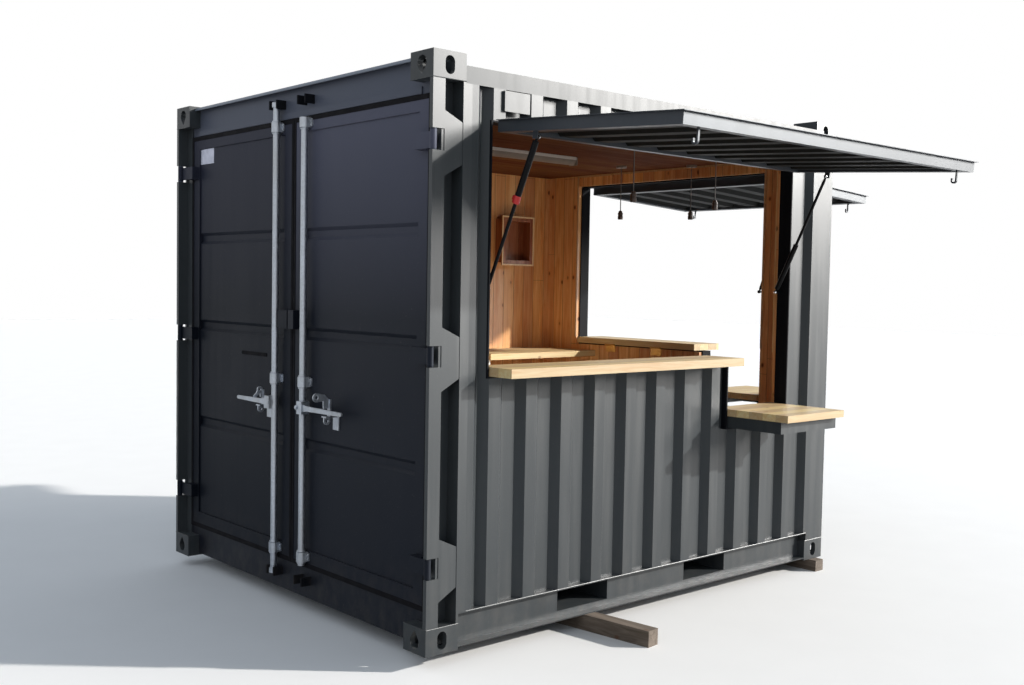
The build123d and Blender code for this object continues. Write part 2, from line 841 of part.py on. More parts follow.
def hatch_panel(left, right, first_crest):
    """Corrugated panel inside the hatch frame."""
    x_span, y_span, z_span = hatch_spans(left, right)
    region = block((x_span[0] + hatch_box, x_span[1] - hatch_box), (y_span[0] - cut_past, y_span[1]),
                   (z_span[0] + hatch_box, z_span[1] - hatch_box))
    wall = corrugation(-half_length, half_length, first_crest)
    return Pos(0, -hatch_wall_gap, 0) * wall & region


def bar_between(radius, bottom, top):
    """A round bar on the Z axis between two heights."""
    return extrude(Plane.XY.offset(bottom) * Circle(radius), top - bottom)


def strut_eye(height):
    """Flat eye across the strut, bored for its stud."""
    plane = Plane(origin=(0, 0, height), x_dir=(0, 1, 0), z_dir=(1, 0, 0))
    eye = extrude(plane * Circle(strut_eye_radius), strut_eye_width / 2, both=True)
    return eye - extrude(plane * Circle(strut_stud_radius + strut_stud_play), strut_eye_width, both=True)


def strut(length, tube_up):
    """Tube and rod of an extended strut along Z from its lower pivot to its upper pivot."""
    radius, bore = strut_tube_radius, strut_tube_bore
    neck_end = strut_eye_radius + strut_neck
    shank = strut_eye_radius - strut_shank_bite
    tube_top = length - neck_end
    tube_bottom = tube_top - strut_tube_length
    tube = bar_between(radius, tube_bottom, tube_top)
    tube -= bar_between(bore, tube_bottom - cut_past, tube_top - strut_cap)
    tube += bar_between(strut_neck_radius, tube_top, length - shank) + strut_eye(length)
    rod = bar_between(strut_rod_radius, neck_end, tube_bottom + strut_overlap)
    rod += bar_between(strut_neck_radius, shank, neck_end) + strut_eye(0)
    if tube_up:
        return tube, rod
    flip = Pos(0, 0, length) * Rot(180, 0, 0)
    return flip * rod, flip * tube


def strut_places(left, right, side):
    """Lower and upper pivot of a strut with the hatch open, in the wall's own axes."""
    x = strut_x(left, right, side)
    upper = Vector(0, strut_upper[0] + hatch_hinge_out, strut_upper[1] - hatch_hinge_height)
    upper = upper.rotate(Axis.X, -hatch_open_angle)
    upper = Vector(x, upper.Y - hatch_hinge_out, upper.Z + hatch_hinge_height)
    return Vector(x, *strut_lower), upper


def placed_strut(left, right, side, tube_up):
    """The two halves of a strut between its pivots, upper half first."""
    lower, upper = strut_places(left, right, side)
    run = upper - lower
    lean = degrees(atan2(-run.Y, run.Z))
    place = Pos(lower.X, lower.Y, lower.Z) * Rot(lean, 0, 0)
    return [place * piece for piece in strut(hypot(run.Y, run.Z), tube_up)]


def door_leaf(lock_box_width):
    """Right hand leaf: a box frame, a grooved panel and half of the lock box."""
    y_span = (-door_edge_y, -door_meeting_gap / 2)
    x_span = (door_face_x, door_face_x + door_thickness)
    ring = block(x_span, y_span, (door_bottom, door_top))
    clear_y = (y_span[0] + door_stile, y_span[1] - door_stile)
    clear_z = (door_bottom + door_bottom_rail, door_top - door_top_rail)
    ring -= block((x_span[0] - cut_past, x_span[1] + cut_past), clear_y, clear_z)
    face = door_panel_x
    path = [(face, clear_z[1])]
    for middle in sorted(groove_heights, reverse=True):
        top, bottom = middle + groove_height / 2, middle - groove_height / 2
        path += [(face, top), (face + groove_depth, top - groove_slope),
                 (face + groove_depth, bottom + groove_slope), (face, bottom)]
    path.append((face, clear_z[0]))
    view = Plane(origin=(0, clear_y[1], 0), x_dir=(1, 0, 0), z_dir=(0, -1, 0))
    panel = prism(folded_sheet(path, door_panel_sheet), clear_y[1] - clear_y[0], view)
    box_front = (door_face_x - lock_box_depth, door_face_x)
    box_y = (y_span[1] - lock_box_width, y_span[1])
    box_z = (lock_box_centre - lock_box_height / 2, lock_box_centre + lock_box_height / 2)
    box = block(box_front, box_y, box_z)
    box -= block((box_front[0] + lock_box_plate, box_front[1]),
                 (box_y[0] + lock_box_plate, box_y[1] - lock_box_plate),
                 (box_z[0] - cut_past, box_z[1] - lock_box_plate))
    leaf = ring + panel + box
    for height in hinge_heights:
        leaf += hinge_blade(height)
    return leaf


def hinge_blade(height):
    """Knuckle on the pin and the cranked blade from it on to the door."""
    blade_x = (hinge_pin_x + blade_offset, hinge_pin_x + blade_offset + blade_thickness)
    landing = (-door_edge_y, -door_edge_y + blade_landing)
    bottom, top = height - blade_height / 2, height + blade_height / 2
    knuckle = Pos(hinge_pin_x, -hinge_pin_y, height) * Cylinder(hinge_knuckle_radius, hinge_knuckle_height)
    blade = block(blade_x, (-hinge_pin_y, landing[1]), (bottom, top))
    pad = block((blade_x[0], door_face_x), landing, (bottom, top))
    bore = Pos(hinge_pin_x, -hinge_pin_y, height) * Cylinder(hinge_pin_radius + hinge_pin_play,
                                                             hinge_knuckle_height + 2)
    return knuckle + blade + pad - bore


def bar_guides():
    """Guide brackets on the right hand leaf, their feet towards the servery front."""
    length, height, plate = guide_foot
    guides = []
    for z in guide_heights:
        on_panel = door_bottom + door_bottom_rail < z < door_top - door_top_rail
        seat_x = door_panel_x if on_panel else door_face_x
        ring = Pos(bar_x, -bar_offset, z) * Cylinder(bar_radius + guide_play + guide_wall, guide_height)
        ring += block((bar_x, seat_x), (-bar_offset - bar_radius - guide_wall,
                                        -bar_offset + bar_radius + guide_wall),
                      (z - guide_height / 2, z + guide_height / 2))
        ring -= block((seat_x, seat_x + 2 * bar_radius), (-2 * bar_offset, 0),
                      (z - guide_height, z + guide_height))
        ring += block((seat_x - plate, seat_x), (-bar_offset - bar_radius - length, -bar_offset),
                      (z - height / 2, z + height / 2))
        ring -= Pos(bar_x, -bar_offset, z) * Cylinder(bar_radius + guide_play, guide_height + 2)
        guides.append(ring)
    return guides


def handle_catch(from_bar, retainer, eye):
    """Catch under a lever of the right hand leaf, its lug, and the retainer that stands over the lever."""
    catch_y = -bar_offset - from_bar
    low = lever_height - lever_section[1] / 2 - catch_drop
    catch = block((lever_x - catch_reach, door_panel_x),
                  (catch_y - catch_width / 2, catch_y + catch_width / 2), (low - catch_plate, low))
    catch += block((door_panel_x - catch_plate, door_panel_x),
                   (catch_y - catch_foot / 2, catch_y + catch_foot / 2), (low - catch_height, low))
    near, far, width = retainer_strap
    catch += block((lever_x + near, lever_x + far), (catch_y - width / 2, catch_y + width / 2),
                   (low, lever_height + retainer[1][1]))
    out, up, eye_radius, eye_bore = eye
    plate = make_face(Polyline(*retainer, close=True)) + Pos(out, up) * Circle(eye_radius)
    plate -= Pos(out, up) * Circle(eye_bore)
    lug_up = low - catch_plate - lug_drop - lever_height
    lug = Pos(0, lug_up) * (Circle(lug_radius) + Pos(0, lug_drop / 2) * Rectangle(2 * lug_radius, lug_drop))
    lug -= Pos(0, lug_up) * Circle(lug_bore)
    across = Plane(origin=(lever_x, catch_y + retainer_plate / 2, lever_height), x_dir=(-1, 0, 0),
                   z_dir=(0, 1, 0))
    return catch + extrude(across * plate, -retainer_plate) + extrude(across * lug, -retainer_plate)


def lever(length):
    """Flat lever of the right hand leaf, deep at its root and tapered to a rounded tip."""
    root_end, root_height = lever_root
    tip = lever_tip_height / 2
    upper = [(0, root_height / 2), (root_end, root_height / 2), (lever_shoulder, lever_section[1] / 2),
             (length - tip, tip)]
    lower = [(out, -up) for out, up in reversed(upper)]
    face = make_face(Polyline(*upper, *lower, close=True)) + Pos(length - tip, 0) * Circle(tip)
    flat = Plane(origin=(lever_x - lever_section[0] / 2, -bar_offset, lever_height), x_dir=(0, -1, 0),
                 z_dir=(1, 0, 0))
    return extrude(flat * face, lever_section[0])


def lock_bar(span, lever_length, cams):
    """Round bar with its hub and lever, and cams at both ends where it has them."""
    axis = Pos(bar_x, -bar_offset, 0)
    bar = axis * Pos(0, 0, span[0]) * Cylinder(bar_radius, span[1] - span[0],
                                               align=(Align.CENTER, Align.CENTER, Align.MIN))
    around, reach, height = lever_hub
    bar += block((lever_x - around, bar_x + around), (-bar_offset - reach, -bar_offset),
                 (lever_height - height / 2, lever_height + height / 2))
    bar += lever(lever_length)
    if cams:
        for z in (span[0] + cam_height / 2, span[1] - cam_height / 2):
            bar += axis * Pos(0, 0, z) * Cylinder(cam_radius, cam_height)
    return bar


def bar_keepers():
    """Pairs of lugs on header and sill, open to the outside, beside the ends of both bars."""
    lugs = []
    side_clear = cam_radius + keeper_clearance
    for y in (-bar_offset, bar_offset):
        for z in (left_bar_span[0] + cam_height / 2, left_bar_span[1] - cam_height / 2):
            for side in (-1, 1):
                inner = y + side * side_clear
                lugs.append(block((header_x - keeper_reach, header_x),
                                  sorted((inner, inner + side * keeper_plate)),
                                  (z - keeper_height / 2, z + keeper_height / 2)))
    return lugs


def casting_stubs(x_span, z_span):
    """Blocks that carry the door frame over or under the castings to both posts."""
    right = block(x_span, (-post_door_side, -between_castings), z_span)
    return right + mirrored_y(right)


def door_header():
    """Closed section over the doors with a drip lip along its top and a strip along its foot."""
    run = (-between_castings, between_castings)
    x_span = (header_x, header_x + header_depth)
    proud, height = header_strip
    header = hollow_bar(x_span, (header_bottom, header_top), header_plate, run)
    header += block((header_x - header_lip, header_x), run, (header_top - header_plate, header_top))
    header += block((header_x - proud, header_x), run, (header_bottom, header_bottom + height))
    return header + casting_stubs(x_span, (header_bottom, casting_bottom_top))


def door_sill():
    """Closed section under the doors."""
    x_span = (header_x, header_x + sill_depth)
    sill = hollow_bar(x_span, (rail_lift, rail_top), sill_plate, (-between_castings, between_castings))
    return sill + casting_stubs(x_span, (casting_height, rail_top))


def wall_niche():
    """Open fronted box on the back lining with a trim round its mouth."""
    y0 = half_width - back_lining_inner
    outer_x, outer_z = (niche_right - niche_width, niche_right), (niche_top - niche_height, niche_top)
    box = block(outer_x, (y0 - niche_depth, y0), outer_z)
    mouth = y0 - niche_depth - niche_trim_depth
    box += block((outer_x[0] - niche_trim, outer_x[1] + niche_trim), (mouth, y0 - niche_depth),
                 (outer_z[0] - niche_trim, outer_z[1] + niche_trim))
    return box - block((outer_x[0] + niche_board, outer_x[1] - niche_board),
                       (mouth - cut_past, y0 - niche_board),
                       (outer_z[0] + niche_board, outer_z[1] - niche_board))


def vent_cover():
    """Flat labyrinth cover in the wall's own axes, open along its bottom edge."""
    width, height, proud = vent_size
    side, face, top = vent_plate
    shell = block((vent_left, vent_left + width), (-proud, 0), (vent_bottom, vent_bottom + height))
    return shell - block((vent_left + side, vent_left + width - side),
                         (-proud + face, -proud + face + vent_slot),
                         (vent_bottom - cut_past, vent_bottom + height - top))


def bearers():
    """The near timber under the rails, a little askew, and the far one under the castings."""
    near = block((-bearer_width / 2, bearer_width / 2), (0, near_bearer_length),
                 (-ground_clearance, rail_lift))
    near = Pos(near_bearer_x, -half_width - near_bearer_overhang, 0) * Rot(0, 0, near_bearer_skew) * near
    far_half = half_width + far_bearer_overhang
    far_centre = half_length - far_bearer_inset
    far = block((far_centre - bearer_width / 2, far_centre + bearer_width / 2),
                (-far_half, far_half), (-ground_clearance, 0))
    return near, far


os.makedirs("parts", exist_ok=True)

front = (front_left, front_right, front_step)
end = (end_left, end_right, end_step)
front_wall = corrugation(strip_end_x, blind_post_x, front_first_crest)
end_wall = corrugation(-blind_post_y, blind_post_y, end_first_crest)
back_wall = corrugation(-blind_post_x, -strip_end_x, back_first_crest)

casting = Pos(-half_length, -half_width, 0) * corner_casting()
save("bottom_corner_castings", *in_four_corners(casting))
save("top_corner_castings", *in_four_corners(Pos(0, 0, container_height) * mirror(casting, Plane.XY)))
post = door_end_post()
save("door_end_posts", post, mirrored_y(post))
post = blind_end_post()
save("blind_end_posts", post, mirrored_y(post))
rail = side_rail(pocket_centres)
save("bottom_side_rails", rail, mirrored_y(rail))
save("bottom_end_rails", door_sill(), end_place * bottom_rail(between_castings))
save("fork_pockets", *fork_pockets())
save("cross_members", *cross_members())
inner_half_width = half_width - rail_web_recess - rail_plate
save("floor_deck", between_posts((header_x + sill_depth, half_length - rail_web_recess - rail_plate),
                                 inner_half_width, (deck_bottom, floor_top)))
top_rail = block((-half_length + casting_length, half_length - casting_length),
                 (-half_width, -half_width + top_rail_depth), (top_rail_bottom, top_rail_top))
top_rail -= block((-half_length, half_length), (-half_width + top_rail_plate,
                                                -half_width + top_rail_depth - top_rail_plate),
                  (top_rail_bottom + top_rail_plate, top_rail_top - top_rail_plate))
save("top_side_rails", top_rail, mirrored_y(top_rail))
save("top_end_rails", door_header(), hollow_bar((half_length - top_rail_depth, half_length),
                                                (top_rail_bottom, top_rail_top), top_rail_plate,
                                                (-between_castings, between_castings)))
save("roof_panel", roof_panel())
save("roof_end_plates", *roof_end_plates())
save("back_wall", back_place * wall_panel(back_wall, (-blind_post_x, -strip_end_x),
                                          (rail_top, top_rail_bottom)))

for name, place, opening, wall, x_span in (
        ("front", front_place, front, front_wall, (strip_end_x, blind_post_x)),
        ("end", end_place, end, end_wall, (-blind_post_y, blind_post_y))):
    left, right, step = opening
    outer = (left - frame_plate, right + frame_plate)
    save(f"{name}_wall_sides",
         place * wall_panel(wall, (x_span[0], outer[0]), (rail_top, top_rail_bottom)),
         place * wall_panel(wall, (outer[1], x_span[1]), (rail_top, top_rail_bottom)))
    save(f"{name}_wall_top", place * wall_panel(wall, outer, (opening_head + frame_plate, top_rail_bottom)))
    save(f"{name}_wall_lower", place * wall_below(wall, *opening))

save("front_opening_frame", front_place * opening_frame(*front, (-1, 1)))
save("end_opening_frame", end_place * opening_frame(*end, (-1,)))

lining_reach = (recess_end_x + post_plate + post_gap, blind_post_x - post_gap)
save("front_lining", *[front_place * slab for slab in lining(*front, lining_reach, front_lining_inner)])
back_face = half_width - back_lining_inner
end_reach = (-blind_post_y + post_gap, blind_post_y - post_gap)
save("end_lining", *[end_place * slab for slab in lining(*end, end_reach, front_lining_inner)])
save("back_lining", block(lining_reach, (back_face, half_width - sheet_inner), (floor_top, ceiling_bottom)))
save("ceiling", between_posts((header_x + header_depth, half_length - sheet_inner), half_width - sheet_inner,
                              (ceiling_bottom, ceiling_bottom + ceiling_thickness)))

for name, place, opening, stop in (("front", front_place, front, front_counter_stop),
                                   ("end", end_place, end, end_counter_stop)):
    slab, slab_span = counter(*opening, stop)
    save(f"{name}_counter", place * slab)
save("counter_hinges", *[place * counter_hinge(centre)
                         for place, opening, stop in ((front_place, front, front_counter_stop),
                                                      (end_place, end, end_counter_stop))
                         for centre in (counter(*opening, stop)[1][0] + fold_from_ends,
                                        counter(*opening, stop)[1][1] - fold_from_ends)])
save("low_shelves", front_place * low_shelf(*front), end_place * low_shelf(*end))
save("shelf_brackets", front_place * shelf_bracket(*front), end_place * shelf_bracket(*end))

save("front_hatch_frame", front_place * hatch_turned(hatch_frame(front_left, front_right, (-1, 1))))
save("end_hatch_frame", end_place * hatch_turned(hatch_frame(end_left, end_right, (-1,))))
save("front_hatch_panel", front_place * hatch_turned(hatch_panel(front_left, front_right, front_first_crest)))
save("end_hatch_panel", end_place * hatch_turned(hatch_panel(end_left, end_right, end_first_crest)))
for name, place, sides, side, tube_up in (("front_left", front_place, front, -1, True),
                                          ("front_right", front_place, front, 1, False),
                                          ("end", end_place, end, -1, True)):
    upper_half, lower_half = placed_strut(sides[0], sides[1], side, tube_up)
    save(f"{name}_strut_upper", place * upper_half)
    save(f"{name}_strut_lower", place * lower_half)

save("right_door", door_leaf(right_lock_box_width))
save("left_door", mirrored_y(door_leaf(left_lock_box_width)))
guides = bar_guides()
save("right_bar_guides", *guides, handle_catch(right_catch_from_bar, right_retainer, right_retainer_eye))
save("left_bar_guides", *[Pos(0, 2 * bar_offset, 0) * guide for guide in guides],
     mirrored_y(handle_catch(left_catch_from_bar, left_retainer, left_retainer_eye)))
save("right_lock_bar", lock_bar(right_bar_span, right_lever_length, False))
save("left_lock_bar", mirrored_y(lock_bar(left_bar_span, left_lever_length, True)))
save("bar_keepers", *bar_keepers())

worktop_span = (worktop_left, end_lining_face)
save("back_worktop", block(worktop_span, (back_face - worktop_depth, back_face),
                           (worktop_top - worktop_thickness, worktop_top)))
save("worktop_end_panel", block((worktop_left, worktop_left + worktop_panel),
                                (back_face - worktop_depth + worktop_panel_setback, back_face),
                                (floor_top, worktop_top - worktop_thickness)))
save("wall_niche", wall_niche())
light_length, light_width, light_height = batten_light_size
save("batten_light", block((batten_light_right - light_length, batten_light_right),
                           (-light_width / 2, light_width / 2),
                           (ceiling_bottom - light_height, ceiling_bottom)))
rose_bottom = ceiling_bottom - rose_height
pendant_places = [(x, -half_width + inset) for x, inset in front_pendants]
pendant_places += [(half_length - inset, y) for inset, y in end_pendants]
save("pendant_roses", *[Pos(x, y, rose_bottom + rose_height / 2) * Cylinder(rose_radius, rose_height)
                        for x, y in pendant_places])
holder_top = holder_bottom + holder_height
cord_length = rose_bottom - holder_top
for number, (x, y) in enumerate(pendant_places, 1):
    save(f"pendant_cord_{number}", Pos(x, y, holder_top + cord_length / 2) * Cylinder(cord_radius, cord_length))
save("lampholders", *[Pos(x, y, holder_bottom + holder_height / 2) * Cylinder(holder_radius, holder_height)
                      for x, y in pendant_places])
vent = vent_cover()
save("vent_covers", front_place * vent, back_place * vent)
save("timber_bearers", *bearers())
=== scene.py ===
import json
from math import cos, pi, radians, sin

import bmesh
import bpy
from mathutils import Matrix, Vector


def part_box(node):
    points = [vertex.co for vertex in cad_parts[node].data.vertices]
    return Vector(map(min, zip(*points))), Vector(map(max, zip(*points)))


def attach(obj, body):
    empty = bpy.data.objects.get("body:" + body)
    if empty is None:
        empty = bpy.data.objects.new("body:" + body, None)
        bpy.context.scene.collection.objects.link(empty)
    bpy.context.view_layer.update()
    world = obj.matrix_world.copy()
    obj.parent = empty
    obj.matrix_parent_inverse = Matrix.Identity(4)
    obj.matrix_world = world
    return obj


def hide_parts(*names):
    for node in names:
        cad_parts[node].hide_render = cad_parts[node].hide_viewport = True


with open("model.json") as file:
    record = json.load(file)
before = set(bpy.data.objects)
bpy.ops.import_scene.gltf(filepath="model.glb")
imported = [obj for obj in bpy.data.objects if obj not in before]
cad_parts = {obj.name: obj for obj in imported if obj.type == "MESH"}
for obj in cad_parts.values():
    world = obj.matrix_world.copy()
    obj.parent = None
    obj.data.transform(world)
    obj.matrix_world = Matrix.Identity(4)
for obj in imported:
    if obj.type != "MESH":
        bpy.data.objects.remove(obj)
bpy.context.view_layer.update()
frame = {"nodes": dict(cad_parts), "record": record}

# Container kiosk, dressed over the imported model. Metres, X along the container from the doors to the
# blind end, Y from the servery front to the back, Z up from the ground.

scene = bpy.context.scene
scene.view_settings.view_transform = "Standard"

# Camera, fitted to the corners of the container in the photograph
camera_place = Vector((-4.3806, -5.0010, 1.6695))
camera_azimuth = radians(41.533)
camera_tilt_down = radians(2.915)
camera_roll = radians(1.0157)
camera_lens, camera_sensor = 39.49, 36

forward = Vector((sin(camera_azimuth) * cos(camera_tilt_down),
                  cos(camera_azimuth) * cos(camera_tilt_down), -sin(camera_tilt_down)))
level_right = Vector((cos(camera_azimuth), -sin(camera_azimuth), 0))
level_up = level_right.cross(forward)
image_right = level_right * cos(camera_roll) + level_up * sin(camera_roll)
image_up = level_up * cos(camera_roll) - level_right * sin(camera_roll)
camera = bpy.data.objects.new("camera", bpy.data.cameras.new("camera"))
camera.data.lens = camera_lens
camera.data.sensor_width = camera_sensor
scene.collection.objects.link(camera)
camera.matrix_world = Matrix.Translation(camera_place) @ Matrix(
    (image_right, image_up, -forward)).transposed().to_4x4()
scene.camera = camera


# Node materials

def new_material(name):
    """A node material, with its tree and its surface shader."""
    material = bpy.data.materials.new(name)
    material.use_nodes = True
    tree = material.node_tree
    return material, tree, tree.nodes["Principled BSDF"]


def fill(tree, made, inputs):
    """Set or link the inputs of a node, named or numbered."""
    for key, value in inputs.items():
        if isinstance(value, bpy.types.NodeSocket):
            tree.links.new(value, made.inputs[key])
        else:
            made.inputs[key].default_value = value


def add_node(tree, kind, inputs=None, **settings):
    """A shader node with its settings, each input set to a value or linked to a socket."""
    made = tree.nodes.new("ShaderNode" + kind)
    for key, value in settings.items():
        setattr(made, key, value)
    fill(tree, made, inputs or {})
    return made


def object_place(tree):
    """Object coordinates, in metres."""
    return add_node(tree, "TexCoord").outputs["Object"]


def stretched(tree, place, scale):
    """A place scaled on each axis."""
    return add_node(tree, "Mapping", {"Vector": place, "Scale": scale}).outputs["Vector"]


def noise(tree, scale, size, detail=3.0, roughness=0.5):
    """Noise between about 0.3 and 0.7, on coordinates stretched by the scale."""
    place = stretched(tree, object_place(tree), scale)
    made = add_node(tree, "TexNoise", {"Vector": place, "Scale": size, "Detail": detail,
                                       "Roughness": roughness})
    return made.outputs["Fac"]


def levels(tree, value, low, high, out_low=0.0, out_high=1.0):
    """Stretch a value from one span to another, held at both ends."""
    made = add_node(tree, "MapRange", {0: value, 1: low, 2: high, 3: out_low, 4: out_high})
    return made.outputs[0]


def mixed(tree, factor, one, two):
    """Mix two colours."""
    return add_node(tree, "MixRGB", {0: factor, 1: one, 2: two}).outputs[0]


def computed(tree, operation, one, two=0.0):
    """One step of arithmetic on one or two values."""
    return add_node(tree, "Math", {0: one, 1: two}, operation=operation).outputs[0]


def times(tree, one, two):
    """The product of two values."""
    return computed(tree, "MULTIPLY", one, two)


def raised(tree, height, strength, distance, under=None):
    """A bump of the given height map, over another one."""
    inputs = {"Height": height, "Strength": strength, "Distance": distance}
    if under is not None:
        inputs["Normal"] = under
    return add_node(tree, "Bump", inputs).outputs["Normal"]


def colour(red, green, blue):
    """An opaque colour."""
    return (red, green, blue, 1)


def scaled(base, share):
    """A colour made darker or paler by a share."""
    return colour(*[share * channel for channel in base[:3]])


def height_above_ground(tree):
    """The height of the place that is shaded, in metres."""
    return add_node(tree, "SeparateXYZ", {0: object_place(tree)}).outputs[2]


even = (1, 1, 1)
dust_colour = colour(0.17, 0.17, 0.165)
speck_colour = colour(0.12, 0.12, 0.12)
soil_colour = colour(0.19, 0.165, 0.14)
# Heights over which the painted highlight near the top of a paint grows to full
sheen_starts, sheen_full = 1.5, 2.5
splash_full, splash_ends = 0.07, 0.45


def painted_steel(name, base, gloss=0.35, dust=0.08, shine=0.2, tint=even, painted_sheen=None):
    """Satin paint on rolled steel: faint waves, runs of dust, and splashed soil near the ground. Where a
    painted sheen colour is given, the paint fades towards it near the top, a painted highlight for the sky
    reflected on the upper paint."""
    material, tree, shader = new_material(name)
    broad = levels(tree, noise(tree, even, 1.3), 0.35, 0.65)
    runs = levels(tree, noise(tree, (9, 9, 0.5), 2.2, 4.0), 0.45, 0.75)
    specks = levels(tree, noise(tree, even, 85.0, 2.0), 0.68, 0.78)
    paint = mixed(tree, times(tree, broad, 0.4), base, scaled(base, 1.25))
    # Painted highlight: the paint grows paler towards the top, standing for the sky reflected there
    if painted_sheen:
        paint = mixed(tree, levels(tree, height_above_ground(tree), sheen_starts, sheen_full), paint, painted_sheen)
    paint = mixed(tree, times(tree, runs, dust), paint, dust_colour)
    paint = mixed(tree, times(tree, specks, 0.2), paint, speck_colour)
    low = levels(tree, height_above_ground(tree), splash_full, splash_ends, 1.0, 0.0)
    splash = levels(tree, noise(tree, (1, 1, 0.7), 14.0, 5.0, 0.65), 0.42, 0.7)
    paint = mixed(tree, times(tree, times(tree, low, splash), 0.15), paint, soil_colour)
    rough = levels(tree, runs, 0.0, 1.0, gloss, gloss + 0.08)
    waves = raised(tree, noise(tree, even, 2.6, 1.0), 0.25, 0.006)
    peel = raised(tree, noise(tree, even, 260.0, 1.0), 0.12, 0.0008, waves)
    fill(tree, shader, {"Base Color": paint, "Roughness": rough, "Normal": peel})
    shader.inputs["Specular IOR Level"].default_value = shine
    shader.inputs["Specular Tint"].default_value = colour(*tint)
    return material


def zinc(name, base, gloss=0.38):
    """Galvanised steel with a spangle, and dull patches."""
    material, tree, shader = new_material(name)
    cells = add_node(tree, "TexVoronoi", {"Vector": stretched(tree, object_place(tree), even), "Scale": 90.0})
    spangle = add_node(tree, "SeparateColor", {0: cells.outputs["Color"]}).outputs[0]
    dull = levels(tree, noise(tree, (1, 1, 0.3), 8.0, 4.0), 0.4, 0.68)
    tone = mixed(tree, spangle, scaled(base, 0.82), base)
    tone = mixed(tree, times(tree, dull, 0.4), tone, colour(0.34, 0.34, 0.33))
    rough = levels(tree, computed(tree, "ADD", dull, spangle), 0.0, 2.0, gloss - 0.08, gloss + 0.2)
    worn = raised(tree, noise(tree, even, 120.0, 2.0), 0.15, 0.0006)
    fill(tree, shader, {"Base Color": tone, "Roughness": rough, "Normal": worn})
    shader.inputs["Metallic"].default_value = 0.85
    return material


def bright_metal(name, base, gloss):
    """Bare or plated metal with fine turning marks and finger marks."""
    material, tree, shader = new_material(name)
    marks = noise(tree, (1, 1, 12), 60.0, 2.0)
    smears = levels(tree, noise(tree, even, 25.0, 3.0), 0.4, 0.7)
    tone = mixed(tree, times(tree, smears, 0.3), base, scaled(base, 0.7))
    rough = levels(tree, smears, 0.0, 1.0, gloss, gloss + 0.2)
    fill(tree, shader, {"Base Color": tone, "Roughness": rough,
                        "Normal": raised(tree, marks, 0.1, 0.0005)})
    shader.inputs["Metallic"].default_value = 1.0
    return material


def moulded(name, base, gloss=0.45, grain=350.0, shine=0.5):
    """Moulded plastic or rubber with a fine grain and uneven shine."""
    material, tree, shader = new_material(name)
    patches = levels(tree, noise(tree, even, 18.0, 3.0), 0.35, 0.7)
    tone = mixed(tree, times(tree, patches, 0.3), base, scaled(base, 0.75))
    rough = levels(tree, patches, 0.0, 1.0, gloss, gloss + 0.15)
    fill(tree, shader, {"Base Color": tone, "Roughness": rough,
                        "Normal": raised(tree, noise(tree, even, grain, 1.0), 0.15, 0.0005)})
    shader.inputs["Specular IOR Level"].default_value = shine
    return material


knot_colour = colour(0.12, 0.035, 0.01)
seam_colour = colour(0.09, 0.035, 0.012)
butt_colour = colour(0.08, 0.03, 0.01)
thinnest_seam = 0.0015
butt_reach, butt_core = 0.0012, 0.0005


